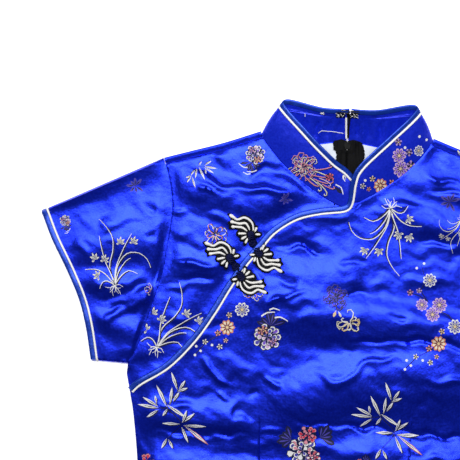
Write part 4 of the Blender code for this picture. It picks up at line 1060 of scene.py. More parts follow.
def orchid():
    """A tuft of arched pale leaves, each with a painted shadow offset beside it, with small open flowers and
    a bunch of roots.
    """
    made = []
    for leaf in ORCHID_LEAVES:
        # A wider dark stroke, shifted to one side of each leaf: painted shadow.
        made.append(stroke([(x + 1.0, y - 0.8) for x, y in leaf], 2.2, "dark", 0.6))
        made.append(stroke(leaf, 1.0, "silver", 0.5))
    for i, turn in enumerate((188, 214, 229, 252, 266, 289, 303, 332, 352)):
        long, bend = (11.5, 7.5, 9.5)[i % 3], (1.6, -1.2, 0.6, -1.8)[i % 4]
        root = turned(((0, 0), (0.5 * long, bend), (long, -0.4 * bend)), 0, 0, turn)
        made.append(stroke(root, 0.8, "silver", 0.4))
    for x, y, turn in ORCHID_FLOWERS:
        for lean, long in ((-70, 6.0), (-30, 8.0), (8, 8.5), (46, 7.0), (110, 4.5)):
            made += petals(x, y, turn + lean, 0.3, (long, 3.2, "dark"), (long * 0.92, 2.1, "silver"),
                           (long * 0.7, 0.8, "dark"))
    return made


def plum():
    """A branch of plum blossoms with buds."""
    return [stroke(stem, 1.1, "dark", 0.4) for stem in PLUM_STEMS] + blossoms(PLUM_BLOSSOMS, 7, PLUM_BUDS)


def bamboo():
    """Sprays of pointed leaves on thin stems, each leaf with a painted shadow offset beside it."""
    made = [stroke(stem, 1.1, "dark", 0.3) for stem in BAMBOO_STEMS]
    for i, (x0, y0, x1, y1) in enumerate(BAMBOO_LEAVES):
        turn, long = math.degrees(math.atan2(y1 - y0, x1 - x0)), math.hypot(x1 - x0, y1 - y0)
        wide = 1.9 + 0.06 * long
        leaf = [(long, wide, "silver")]
        if i == PINK_LEAF:
            leaf = [(long, wide, "pink"), (long * 0.9, wide * 0.62, "silver")]
        # A wider dark leaf, shifted to one side of the pale one: painted shadow.
        made.append(petal(x0 + 0.9, y0 - 0.7, turn, long, wide + 1.0, "dark", 0.1))
        made += petals(x0, y0, turn, 0.1, *leaf, (long * 0.75, 0.8, "dark"))
    return made


def leaves_about(x, y, turns, long, wide):
    """Dark leaves about a point, each with a dim vein."""
    made = []
    for i, turn in enumerate(turns):
        reach = long * (1.0, 0.8, 0.9)[i % 3]
        made += petals(x, y, turn, 0.7, (reach, wide, "dark"), (reach * 0.85, wide * 0.24, "dim"))
    return made


def peony():
    """A peony in several colours, with a spray of leaves above it."""
    made = leaves_about(4, 10, (20, 55, 80, 105, 140, 165), 17, 5.4)
    for path in (((-6, 20), (0, 24), (8, 25)), ((8, 19), (14, 20), (22, 16)), ((2, 27), (6, 29), (13, 27))):
        made.append(stroke(path, 1.6, "silver", 0.5))
    made += cluster(1, -2, 14.5, "silver", ("purple", "dim", "dim", "lilac"), 10)
    made += cluster(-4, 5, 5.6, "orange", ("gold", "pink"), 6)
    made += cluster(7, -7, 5.0, "lilac", ("pink", "purple"), 6)
    return made


def big_peony():
    """The large peony below the bust."""
    made = leaves_about(-14, 3, (110, 140, 165, 190, 220), 16, 7.0)
    made += leaves_about(16, 6, (-20, 10, 35, 60, 85), 17, 7.0)
    made += cluster(-2, -8, 15.5, "silver", ("dim", "silver", "dim", "pink"), 11)
    made += cluster(3, 9, 10.0, "pink", ("red", "red", "pink"), 8)
    made += cluster(10, -14, 7.4, "pink", ("silver", "red", "pink"), 7)
    return made


def round_flower():
    """A dim round flower that barely shows, with a gold curled one below it."""
    made = curls(0, 0, 14.0, ("dim", "purple", "dim"), 25, 90, 350, 0.8)
    made += curls(0, 0, 7.5, ("dim", "dim"), 11, 70, 340, 0.8)
    made += curls(15, -25, 13.5, ("cream", "silver", "gold"), 13, -70, 260, 1.2)
    made += [petal(1, -13, 250, 8, 3.4, "gold"), petal(3, -14, 300, 7, 2.6, "cream")]
    return made


def dim_spray():
    made = []
    for i, turn in enumerate((20, 65, 110, 150, 200, 250, 300)):
        made += petals(0, 0, turn, 0.5, (13 - i % 3 * 2, 4.2, "dim"), (9 - i % 3, 1.5, "dark"))
    return made


def red_flower():
    return cluster(0, 0, 11, "pink", ("red", "red", "dark"), 8)


def curled():
    return curls(0, 0, 14, ("silver", "pink", "cream", "dim"), 19, 90, 340, 0.9)


PATTERNS = {
    "orchid": orchid, "plum": plum, "bamboo": bamboo, "peony": peony, "big_peony": big_peony,
    "round": round_flower, "dim": dim_spray, "curled": curled, "red": red_flower,
}

# Where the woven flowers lie: a pattern, its root, its turn in degrees and its size
Growth = namedtuple("Growth", "pattern x y turn size")
FRONT_GROWTHS = rows(
    Growth,
    ("orchid", 47.8, -72.5, 180, 1), ("round", -5.8, -168.4, 0, 1), ("plum", 70, -239, 0, 1),
    ("peony", -76.3, -211.5, 0, 1), ("plum", -149.5, -234.5, 4, 1), ("bamboo", -161, -308, 0, 1),
    ("bamboo", 63, -308.4, 0, 1), ("big_peony", -31, -323, 0, 1), ("dim", 109.5, -63.5, 0, 0.9),
    ("big_peony", 27, -345, 30, 0.5), ("red", -196.5, -352, 40, 1), ("curled", -92, -166, 20, 0.8),
    ("peony", 152, -200, 20, 1), ("orchid", 168, -300, 10, 0.9), ("orchid", 122, -82, 160, 0.5),
    ("plum", 178, -140, 185, 0.8), ("dim", 160, -60, 10, 0.9), ("plum", -186, -470, 0, 1),
    ("orchid", -70, -470, 0, 1), ("peony", -118, -400, 160, 1), ("plum", 30, -500, 10, 1),
    ("orchid", 150, -480, -10, 1), ("round", -20, -560, 0, 1), ("bamboo", -140, -545, 20, 1),
    ("peony", 120, -560, 0, 1), ("dim", 60, -400, 0, 1), ("dim", -40, -400, 70, 1),
)
SHOULDER_GROWTHS = rows(
    Growth,
    ("orchid", -190.3, -229.1, -27, 1), ("bamboo", -164, -27, 178, 0.62),
    ("peony", -95.4, -24, 170, 0.72), ("curled", -134.5, -108.9, 60, 0.95), ("dim", -62, -68, 50, 0.6),
)
SLEEVE_GROWTHS = rows(
    Growth,
    ("orchid", -241.3, -167.1, 6, 0.98), ("peony", -298, -104, 200, 0.42), ("dim", -222, -62, 30, 0.8),
    ("curled", -199, -170, 200, 0.6),
)
HIDDEN_GROWTHS = rows(
    Growth,
    ("plum", 40, 20, 0, 1), ("orchid", 140, 30, 0, 1), ("peony", 96, 150, 40, 1),
    ("bamboo", 40, 220, 0, 1), ("round", 170, 230, 0, 1),
)
REPEAT_X, REPEAT_Y = 228.0, 300.0


def grown(growths):
    made = []
    for growth in growths:
        made += moved(PATTERNS[growth.pattern](), growth.x, growth.y, growth.turn, growth.size)
    return made


def clipped(motifs, outline, clear=0.8):
    """Keeps the flowers that lie wholly inside an outline, clear of its edge."""
    ring = looped(outline)
    return [
        m for m in motifs
        if inside(outline, m.points).all() and distance_to(ring, m.points, 2 * clear).min() > clear
    ]


def hidden_flowers(outline, side):
    """Flowers for half of the back, in a regular repeat."""
    made = []
    for row in range(3):
        for column in range(2):
            x = side * (column * REPEAT_X) - REPEAT_X / 2 * (side < 0)
            made += moved(grown(HIDDEN_GROWTHS), x, -LENGTH + row * REPEAT_Y - 40)
    return clipped(made, outline)


def hidden_motifs(long, half):
    """Flowers for the side of a sleeve that lies underneath."""
    made = moved(grown(HIDDEN_GROWTHS[1:3]), -60.0, 20.0, 0.0, 0.9)
    outline = np.array(((1.0, 6.0), (long - 1.0, 6.0), (long - 1.0, half - 6.0), (1.0, half - 6.0)))
    return clipped(made, outline)


def sleeve_flowers(side):
    """The flowers of the sleeve's upper side, in the plan."""
    made = grown(SLEEVE_GROWTHS)
    if side > 0:
        made = [Motif(m.points * (-1, 1), m.thread) for m in made]
    lines = np.vstack([stations(ARMHOLE, side), stations(CUFF, side)[::-1]]).astype(float)
    return clipped(made, lines, 4.0)


Tendril = namedtuple("Tendril", "x y turn long hook thread")
COLLAR_TENDRILS = rows(
    Tendril,
    (-36, -36, 4, 22, 0.4, "pink"), (-33, -37, -12, 16, -0.5, "cream"), (-36, -41, -16, 20, 0.7, "pink"),
    (-38, -44, -30, 18, -0.6, "cream"), (-41, -45, -46, 15, 0.7, "pink"), (-34, -45, -26, 20, 0.8, "pink"),
    (-30, -48, -36, 17, -0.6, "cream"), (-28, -44, -14, 14, -0.7, "lilac"),
    (-25, -50, -32, 14, 0.6, "pink"),
)
COLLAR_BLOSSOMS = (
    (52.5, -17.5, 7.6, "lilac", "purple"), (55.5, -31.0, 8.2, "lilac", "purple"),
    (66.5, -26.5, 4.8, "lilac", "purple"), (63.0, -13.5, 4.0, "lilac", "dim"),
    (50.5, -4.0, 3.8, "lilac", "purple"), (73.5, -11.2, 5.4, "silver", "dim"),
    (35.5, -49.0, 7.2, "orange", "cream"), (26.0, -42.5, 3.2, "cream", "orange"),
    (47.5, -45.0, 3.0, "orange", "pink"), (16.5, -50.4, 3.2, "silver", "dim"),
    (23.4, -53.4, 2.6, "pink", "orange"),
)
COLLAR_BUDS = ((72.6, 3.2), (81.2, 0.4), (18.6, -44.6), (58.0, -9.0))


def collar_flowers(word):
    """The flowers on the front of the collar, in the plan."""
    if word == "left":
        return blossoms(COLLAR_BLOSSOMS, 9, COLLAR_BUDS)
    made = curls(-45.0, -33.0, 15.5, ("pink", "cream", "lilac", "pink"), 25, 100, 350, 0.9)
    made += curls(-46.0, -34.0, 8.0, ("cream", "pink"), 11, 60, 330, 0.9)
    for row in COLLAR_TENDRILS:
        made += tendril(*row)
    made += cluster(-17.5, -42.5, 4.6, "pink", ("red", "red"), 6)
    made.append(petal(-12, -52, -40, 11, 4.4, "dark"))
    made.append(stroke(((-11, -50), (-5, -53), (-2.5, -60)), 1.2, "silver", 0.3))
    made.append(petal(-1.2, -47.0, 105, 8, 4.0, "silver", 0.4))
    made.append(petal(-1.0, -46.0, 105, 5, 1.6, "dim", 0.4))
    return made


# Bars on the collar's back: the first, a dark strip along the opening, is painted shadow; then a dark patch
# at the top by the opening, and a dim line along the top.
COLLAR_BACK_BARS = (
    (((0.2, 0.6), (2.1, 0.6), (2.1, 29.4), (0.2, 29.4)), "dark"),
    (((2.5, 24.0), (12.0, 24.6), (12.4, 29.2), (2.5, 29.4)), "dark"),
    (((2.4, 26.4), (76.0, 25.0), (76.0, 25.7), (2.4, 27.2)), "dim"),
)
COLLAR_BACK_PLACES = {
    "left": ((12.0, 12.0, 20.0), (34.0, 16.0, 80.0)),
    "right": ((30.0, 13.0, 100.0),),
}


def collar_back_flowers(word):
    """The flowers on the back of the collar and its bars, the first a painted shadow along the opening, laid
    out flat.
    """
    made = [Motif(np.array(corners), thread) for corners, thread in COLLAR_BACK_BARS]
    for x, y, turn in COLLAR_BACK_PLACES[word]:
        made += moved(curls(0, 0, 9, ("dim", "dim", "pink"), 11), x, y, turn, 0.9)
    return made


COLLAR_CREASES = tuple(
    Crease(((x, 0.0), (x + 0.8, 10.0), (x + 0.2, 18.0), (x - 0.6, 25.0)), 2.8, 2.8, rise)
    for x, rise in (
        (8.0, 1.5), (14.0, -1.0), (20.0, 1.4), (26.5, -1.3), (32.0, 1.3), (39.0, -1.1), (45.0, 1.1),
        (54.0, 0.9), (62.0, -0.9), (71.0, 0.8), (104.0, 0.4), (128.0, 0.35), (150.0, 0.4),
    )
)
Stitch = namedtuple("Stitch", "x0 y0 x1 y1 high")
BLACK_STITCHES = tuple(
    Stitch(x, 24.4 - 0.5 * (i % 3), x + (0.8, -0.7, 0.5)[i % 3], 18.6 + 0.5 * (i % 2), 1.0 + 0.3 * (i % 2))
    for i, x in enumerate((*np.arange(-14.0, -5.2, 0.62), *np.arange(-2.0, 8.4, 0.62)))
)
WHITE_STITCHES = rows(
    Stitch,
    (-29.9, 23, -27.2, 21, 0.8), (-29.2, 21, -27.4, 23.2, 0.9), (-30.6, 22, -26.8, 21.8, 0.7),
    (-46.4, 21.8, -46, 18.6, 0.5), (-14.6, 22.4, -11, 20.6, 1.9), (-13.6, 19.2, -10.6, 21.6, 1.9),
    (-10.4, 22.8, -8.2, 20, 1.9), (-8, 19.4, -6, 21.4, 1.8), (-11.8, 18.6, -11, 20.4, 1.7),
    (-6.6, 23.4, -5.2, 21.6, 1.7), (-0.6, 22.8, 1.8, 20.4, 1.9), (1.2, 19.4, 4, 21.4, 1.9),
    (3, 23, 5.4, 21, 1.9), (4.4, 19.2, 6.4, 21, 1.8), (6, 22.4, 8.8, 21.2, 1.8),
    (6.4, 20, 9.2, 18.8, 1.7), (-1, 25.6, 3, 26, 0.9), (-9.4, 26.2, -5.4, 26, 0.9),
    (-31, 2.6, -27.6, 5, 0.3), (-27.6, 5, -16, 4.6, 0.2), (-16, 4.6, -4.6, 3.4, 0.2),
)


# The cloth's height above the table


NECK_SEAMS, BACK_NECKS, SHOULDERS, ARMHOLES, SIDES = (
    {side: through(stations(table, side), EDGE_STEP) for side in (1, -1)}
    for table in (NECK_FRONT, NECK_BACK, SHOULDER, ARMHOLE, SIDE)
)
PLACKET_LINE = through(PLACKET, EDGE_STEP)
HEM_HALF = SIDE[-1].half
HEM_LINE = np.array([(x, -LENGTH) for x in np.linspace(-HEM_HALF, HEM_HALF, 90)])
TUCK = 1.3
TUCK_DROP = 1.2
CREASE_CLEAR = 5.0
FINE_BOX = ((-225.0, -352.0), (140.0, 5.0))


def across_shoulder(side):
    """The direction out over the shoulder, in the plan."""
    return np.array((side * math.sin(SHOULDER_SLOPE), math.cos(SHOULDER_SLOPE)))


SHOULDER_SEAMS = {side: SHOULDERS[side] - across_shoulder(side) * SHOULDER_TURN for side in (1, -1)}


def armhole_front(side):
    """The armhole from the end of the shoulder seam down to the underarm."""
    line = ARMHOLES[side]
    end_y = SHOULDER_SEAMS[side][-1][1]
    start = (np.interp(-end_y, -line[:, 1], line[:, 0]), end_y)
    return np.vstack([start, line[line[:, 1] < end_y - 2.0]])


def neck_lift(x, y):
    """How far the back stands off the table at the top of the zip, where the pull hangs under it."""
    return NECK_LIFT * smooth_step(1 - np.abs(x) / NECK_LIFT_HALF) * smooth_step((y + 64.0) / 42.0)


def rounded(share):
    """The section of a fold: 1 on its crest, and 0 from a share of 1."""
    return 0.5 + 0.5 * np.cos(math.pi * np.clip(share, 0, 1))


def fold_rise(fold, points):
    """How much one large fold lifts the cloth at each point."""
    start, end = np.array((fold.x0, fold.y0)), np.array((fold.x1, fold.y1))
    run = end - start
    long = np.linalg.norm(run)
    along_way, across_way = run / long, np.array((run[1], -run[0])) / long
    if across_way[1] > 0:
        across_way = -across_way
    along = (points - start) @ along_way / long
    bend = fold.bow * (1 - (2 * along - 1) ** 2)
    across = (points - start) @ across_way - bend
    width = np.where(across < 0, fold.before, fold.after)
    ends = smooth_step((along + 0.12) / 0.3) * smooth_step((1.12 - along) / 0.3)
    return fold.height * rounded(np.abs(across) / width) * ends


# Soft waves in the plan: ridges this long apart, turned from the X axis, with their phase and height
Wave = namedtuple("Wave", "long turn phase rise")
WANDER_ALONG = (Wave(70.0, 20.0, 0.3, 2.4), Wave(31.0, 75.0, 1.9, 1.3), Wave(17.0, 140.0, 4.1, 0.6))
WANDER_ACROSS = (Wave(64.0, 110.0, 2.2, 2.4), Wave(28.0, 10.0, 0.7, 1.4), Wave(15.0, 55.0, 5.2, 0.6))
SWELL = (Wave(52.0, 35.0, 0.9, 0.22), Wave(27.0, 120.0, 3.1, 0.18))
RIPPLES = (Wave(26.0, 84.0, 0.4, 0.20), Wave(38.0, 98.0, 2.6, 0.26), Wave(15.0, 68.0, 1.1, 0.07),
           Wave(21.0, 116.0, 3.9, 0.11), Wave(47.0, 60.0, 5.3, 0.24))


def waves_at(waves, points):
    total = np.zeros(len(points))
    for wave in waves:
        angle = math.radians(wave.turn)
        along = points @ (math.cos(angle), math.sin(angle))
        total += wave.rise * np.sin(along * 2 * math.pi / wave.long + wave.phase)
    return total


def wandered(points, share=1.0):
    """The points moved a little, so that drawn lines run unevenly."""
    moves = [waves_at(WANDER_ALONG, points), waves_at(WANDER_ACROSS, points)]
    return points + share * np.column_stack(moves)


def crease_rise(crease, points):
    """How much one crease lifts the cloth at each point."""
    path = through(crease.path, 5.0)
    widest = max(crease.before, crease.after)
    near = ((points > path.min(0) - widest) & (points < path.max(0) + widest)).all(1)
    rise = np.zeros(len(points))
    if near.any():
        away, left, share = nearest_on(path, points[near])
        ends = smooth_step(share / 0.34) * smooth_step((1 - share) / 0.34)
        width = np.where(left, crease.before, crease.after) * (0.4 + 0.6 * ends)
        rise[near] = crease.rise * rounded(away / width) * ends
    return rise


def folds_rise(points):
    rise = sum(fold_rise(fold, points) for fold in FRONT_FOLDS)
    return FOLD_LIMIT * np.tanh(rise / FOLD_LIMIT)


def creased(height, points, creases, edges):
    """Adds the fine creases, which die away just before the edges."""
    spots = wandered(points)
    rise = sum(crease_rise(crease, spots) for crease in creases) * (1 + waves_at(SWELL, points))
    rise = rise + waves_at(RIPPLES, wandered(points, 2.5))
    for edge in edges:
        rise = rise * smooth_step(distance_to(edge, points, CREASE_CLEAR) / CREASE_CLEAR)
    return height + rise


# Over how far the cloth eases down to each of its seams and edges
SIDE_EASE = 22.0
HEM_EASE = 14.0
ARMHOLE_EASE = 12.0
SHOULDER_EASE = 8.0
PLACKET_EASE = 14.0
NECK_EASE = 12.0


def eased(height, points, *seams):
    """Brings the height to each seam's rim, over the distance given with it."""
    for curve, rim, reach in seams:
        height = rim + (height - rim) * smooth_step(distance_to(curve, points, reach) / reach)
    return height


def main_height(points):
    """Top of the main front panel."""
    over_flap = smooth_step((points[:, 1] + 345.0) / 45.0)
    height = eased(
        FRONT_BASE + folds_rise(points), points, (SIDES[1], SIDE_RIM, SIDE_EASE),
        (SIDES[-1], SIDE_RIM + FLAP_CLEARANCE * over_flap, SIDE_EASE), (HEM_LINE, HEM_RIM, HEM_EASE),
        (armhole_front(1), ARMHOLE_RIM, ARMHOLE_EASE), (SHOULDER_SEAMS[1], SHOULDER_RIM, SHOULDER_EASE),
        (PLACKET_LINE[:-4], PLACKET_RIM, PLACKET_EASE), (NECK_SEAMS[1], NECK_RIM_OVER, NECK_EASE),
    )
    edges = (PLACKET_LINE, NECK_SEAMS[1], SHOULDER_SEAMS[1], armhole_front(1), SIDES[1], SIDES[-1], HEM_LINE)
    height = creased(height, points, FRONT_CREASES, edges)
    return height + sum(crease_rise(Crease(dart, 0.8, DART_HALF, 1.0), points) for dart in DARTS)


def under_height(points):
    """Top of the shoulder panel, which runs in under the main panel's edge."""
    height = eased(
        FRONT_BASE + folds_rise(points), points, (SIDES[-1], SIDE_RIM, SIDE_EASE),
        (armhole_front(-1), ARMHOLE_RIM, ARMHOLE_EASE), (SHOULDER_SEAMS[-1], SHOULDER_RIM, SHOULDER_EASE),
        (NECK_SEAMS[-1], NECK_RIM_UNDER, NECK_EASE),
    )
    edges = (PLACKET_LINE, NECK_SEAMS[-1], SHOULDER_SEAMS[-1], armhole_front(-1), SIDES[-1])
    height = creased(height, points, SHOULDER_CREASES, edges)
    lowered = np.minimum(height, main_height(points) - FLAP_CLEARANCE)
    over_lining = (np.abs(points[:, 0]) < LINING_HALF + 8) & (points[:, 1] > -LINING_DROP - 8)
    over_lining |= np.abs(points[:, 0]) < TAPE_HALF + 6
    lowest = np.where(over_lining, OVER_LINING, SIDE_RIM)
    away = distance_to(PLACKET_LINE, points, 30.0)
    hidden = lowest + (lowered - lowest) * (1 - smooth_step(away / 10.0))
    shown = lowered + (height - lowered) * smooth_step((away - 9.0) / 20.0)
    return np.maximum(np.where(inside(MAIN_OUTLINE, points), hidden, shown), lowest)


def main_edges():
    """The main front panel's edges: tucked ones lie under a seam, free ones do not."""
    neck = NECK_SEAMS[1][::-1]
    neck = neck[neck[:, 0] > PLACKET[0].x + 1.5]
    right_side = SIDES[-1][::-1]
    right_side = right_side[right_side[:, 1] < PLACKET[-1].y - 2.0]
    tucked = [neck[:-1], SHOULDER_SEAMS[1][:-1], armhole_front(1)]
    free = [SIDES[1][1:], HEM_LINE[::-1][1:-1], right_side, PLACKET_LINE[::-1]]
    return np.vstack(tucked), np.vstack(free)


def shoulder_panel_edges():
    """The shoulder panel's edges, and the one that it hides under the main panel."""
    hidden = PLACKET_LINE + FLAP_UNDER * left_of(PLACKET_LINE)
    hidden = hidden[(hidden[:, 0] < -2.0) & (hidden[:, 0] > -202.0)]
    side = SIDES[-1]
    side = side[side[:, 1] > hidden[-1][1] + 4.0]
    tucked = [NECK_SEAMS[-1][::-1][:-1], SHOULDER_SEAMS[-1][:-1], armhole_front(-1)]
    return np.vstack(tucked), np.vstack([side[1:], hidden[::-1]])


def outward(line, outline):
    """Moves a stretch of an outline outwards by the width of the tuck."""
    out, middle = -left_of(line), len(line) // 2
    if inside(outline, line[middle: middle + 1] + out[middle] * 2.0)[0]:
        out = -out
    return line + out * TUCK


MAIN_TUCKED, MAIN_FREE = main_edges()
MAIN_OUTLINE = np.vstack([MAIN_TUCKED, MAIN_FREE])
UNDER_TUCKED, UNDER_FREE = shoulder_panel_edges()


DARTS = tuple(
    ((side * 80.9, -270.0), (side * 77.7, -343.0), (side * 74.0, -440.0)) for side in (-1, 1)
)
DART_HALF = 1.8


def two_step_grid(outline):
    """Grid points, finer where the folds are fine and along the darts."""
    sizes = bpy.context.scene.top_sizes
    low, high = FINE_BOX
    found = []
    for step, wanted in ((sizes.fine_step / MM, True), (sizes.coarse_step / MM, False)):
        grid = grid_over(outline, step)
        in_box = ((grid > low) & (grid < high)).all(1)
        found.append(grid[in_box == wanted])
    grid = np.vstack(found)
    lines = []
    for dart in DARTS:
        line = through(dart, 3.0)
        grid = grid[distance_to(line, grid, 5.0) > DART_HALF + 0.8]
        lines += [line + (shift, 0.0) for shift in (-DART_HALF, -0.7, 0.0, 0.7, DART_HALF)]
    lines = np.vstack(lines)
    return np.vstack([grid, lines[inside(outline, lines)]])


def front_panel(name, node, tucked, free, height, growths):
    """A front panel as a thin shell that follows the folds, its seam edges tucked under."""
    sewn = np.vstack([tucked, free])
    outline = np.vstack([outward(tucked, sewn), free])
    cloth = bpy.context.scene.top_sizes.cloth / MM

    def place(plan):
        under = np.where(inside(sewn, plan), 0.0, distance_to(looped(sewn), plan, 3.0))
        top = height(plan) - TUCK_DROP * smooth_step(under / TUCK)
        return np.column_stack([plan, top]), np.column_stack([plan, top - cloth])

    flowers = clipped(grown(growths), sewn)
    made = woven_sheet(name, outline, two_step_grid(outline), place, brocade_ground, flowers)
    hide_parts(node)
    area = flat_area(sewn)
    return made


# Back panels


ZIP_NECK_HALF = 1.6
ZIP_NECK_DROP = 17.0
SHOULDER_WRAP = math.pi * SHOULDER_RADIUS
TURNED_EDGE = SHOULDER_TURN - SHOULDER_RADIUS - GAP
SHOULDER_FALL = 2.2


def back_outline(side):
    """Half of the back, with what turns over the shoulder laid out flat beyond it."""
    top = SHOULDERS[1] - (0.0, SHOULDER_RADIUS)
    beyond = top + (-0.5, SHOULDER_WRAP + TURNED_EDGE)
    armhole = ARMHOLES[1][::-1] - (GAP / 2, 0.0)
    armhole = armhole[armhole[:, 1] < top[-1][1]]
    sides = SIDES[1][::-1] - (GAP / 2, 0.0)
    neck = BACK_NECKS[1][::-1] - (0.0, GAP)
    neck = neck[neck[:, 0] > ZIP_NECK_HALF + 0.5]
    hem = [(x, -LENGTH) for x in np.arange(5.0, HEM_HALF - 2.0, 5.0)]
    centre = [(ZIP_NECK_HALF, y) for y in (-3.2, -10.0, -ZIP_NECK_DROP)]
    centre += [(GAP / 2, y) for y in (-ZIP_NECK_DROP - 1.0, *np.arange(-25.0, -LENGTH, -5.0))]
    wrap = (0.0, 2.5, 5.0, 7.5, 10.5)
    wrap_side = [(top[-1][0] - 1.0, top[-1][1] + t) for t in wrap]
    neck_side = [(top[0][0], top[0][1] + t) for t in reversed(wrap)]
    outline = np.vstack([hem, sides, armhole[1:], wrap_side, beyond[::-1][1:-1], neck_side, neck[1:], centre])
    return outline * (side, 1)


def fold_line(x):
    """Where the back starts to turn over the shoulder."""
    return np.interp(np.abs(x), SHOULDERS[1][:, 0], SHOULDERS[1][:, 1]) - SHOULDER_RADIUS


def back_place(side):
    cloth = bpy.context.scene.top_sizes.cloth / MM

    def place(plan):
        x, y = np.abs(plan[:, 0]), plan[:, 1]
        fold_y = fold_line(x)
        past = np.where(x >= NECK_HALF - 0.01, np.maximum(y - fold_y, 0.0), 0.0)
        angle = np.minimum(past / SHOULDER_RADIUS, math.pi)
        base = np.column_stack([plan[:, 0], np.where(past > 0, fold_y, y)])
        way = across_shoulder(side)
        fall = SHOULDER_FALL * smooth_step((past - SHOULDER_WRAP / 2) / (SHOULDER_WRAP / 2 + TURNED_EDGE))
        sheets = []
        for radius, low in ((SHOULDER_RADIUS, 0.0), (SHOULDER_RADIUS - cloth, cloth)):
            out = radius * np.sin(angle) - np.maximum(past - SHOULDER_WRAP, 0.0)
            rise = SHOULDER_RADIUS - radius * np.cos(angle) - low
            z = np.where(past > 0, low + rise - fall, neck_lift(plan[:, 0], y) + low)
            sheets.append(np.column_stack([base + out[:, None] * way, z]))
        return sheets

    return place


def back_panel(side, word):
    """Half of the back, flat on the table, turned over the shoulder to the seam on the front."""
    outline = back_outline(side)
    turned_rows = [
        (side * x, fold_line(x) + t)
        for x in np.arange(NECK_HALF + 3.0, SHOULDER[-1].half - 4.0, 3.0)
        for t in (0.4, 1.6, 2.8, 4.0, 5.2, 6.4, 7.6, 9.5)
    ]
    grid = grid_over(outline, bpy.context.scene.top_sizes.coarse_step / MM)
    keep = (np.abs(grid[:, 0]) < NECK_HALF) | (grid[:, 1] < fold_line(grid[:, 0]) - 2.0)
    grid = np.vstack([grid[keep], turned_rows])
    made = woven_sheet(f"satin_back_{word}", outline, grid, back_place(side), brocade_ground,
                       hidden_flowers(outline, side), outside_up=False)
    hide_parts(f"back_{word}")
    size = (outline.max(0) - outline.min(0)) * MM
    flat_area(outline)


# Sleeves


SLEEVE_LONG = 120.0
SLEEVE_ROUND = 190.0
CUFF_WIDTH = BINDING_WIDTH + 2 * GAP + PIPING
CUFF_CLOTH = 1.2
SLEEVE_STEP = 5.0


# The upper side stands in a roll along the shoulder fold and falls behind it, less far toward the cuff
SLEEVE_EDGE = 6.0
SLEEVE_CLIMB = 2.6
SLEEVE_ROLL = 3.8
SLEEVE_HOLLOW = 25.0


class Sleeve:
    """A flattened sleeve: across from armhole to cuff, round from the shoulder to the underarm."""

    def __init__(self, side):
        self.side = side
        armhole = through(stations(ARMHOLE, side), 3.0) + (side * GAP, 0.0)
        self.lines = Ruled(armhole, through(stations(CUFF, side), 3.0))

    def plan(self, share, across, back):
        start, end = self.lines.ends(share)
        end = end - unit(end - start) * np.asarray(back)[..., None]
        return start + (end - start) * np.asarray(across)[..., None]

    def high(self, across, share, spots, roll):
        """Height of the upper side: folds and creases away from the roll, and the roll itself."""
        height = np.full(len(across), SLEEVE_BASE)
        calm = 1 - roll
        for fold in SLEEVE_FOLDS:
            lean = across if self.side < 0 else 1 - 0.8 * across
            crest = fold.at0 + (fold.at1 - fold.at0) * lean
            width = np.where(share < crest, fold.before, fold.after)
            height = height + fold.height * rounded(np.abs(share - crest) / width) * calm
        height = ARMHOLE_RIM + (height - ARMHOLE_RIM) * smooth_step(across / 0.14)
        creases = [sided(c, -self.side) for c in SLEEVE_CREASES]
        rise = sum(crease_rise(c, wandered(spots)) for c in creases)
        rise = rise * (1 + waves_at(SWELL, spots)) + waves_at(RIPPLES, wandered(spots, 2.5))
        fade = smooth_step(across / 0.05) * smooth_step((1.0 - across) / 0.08)
        height = height + rise * fade * calm
        height = height + SLEEVE_ROLL * roll * smooth_step(across / 0.1)
        return CUFF_TOP + (height - CUFF_TOP) * (0.3 + 0.7 * smooth_step((1 - across) / 0.25))

    def points(self, across, around, back, thick):
        """Outer and inner points; around runs from -1 at the underarm over the shoulder to 1."""
        share = np.abs(around)
        wide = np.linalg.norm(self.plan(np.ones_like(share), across, back)
                              - self.plan(np.zeros_like(share), across, back), axis=1)
        away = np.minimum(share, 1 - share) * wide
        angle = np.arccos(np.clip(1 - away / SLEEVE_RADIUS, 0, 1))
        spots = self.plan(share, across, back)
        reach = share * wide
        hollow = SLEEVE_HOLLOW * (1 - 0.7 * across)
        roll = np.clip((hollow - reach) / (hollow - SLEEVE_CLIMB), 0, 1) ** 1.4
        high = self.high(across, share, spots, roll)
        edge = np.minimum(SLEEVE_EDGE, high)
        high = edge + (high - edge) * np.sin(math.pi / 2 * np.clip(reach / SLEEVE_CLIMB, 0, 1))
        sheets = []
        for low in (0.0, thick):
            shift = low * np.cos(angle) / wide * np.where(share < 0.5, 1, -1)
            plan = self.plan(share + shift, across, back)
            z = low + (high - 2 * low) * (1 + np.where(around >= 0, 1, -1) * np.sin(angle)) / 2
            sheets.append(np.column_stack([plan, z]))
        return sheets

    def unrolled(self, spots):
        """Where a point of the plan lies on the cloth, on the upper side."""
        share, across = self.lines.find(spots)
        return np.column_stack([across * SLEEVE_LONG, share * SLEEVE_ROUND])


def sided(crease, side):
    """A crease of the wearer's right side, or its like on the left, a little apart."""
    if side > 0:
        return crease
    path = tuple((-x - 3.0, y + 4.0) for x, y in crease.path[::-1])
    return Crease(path, crease.before, crease.after, crease.rise * 0.9)


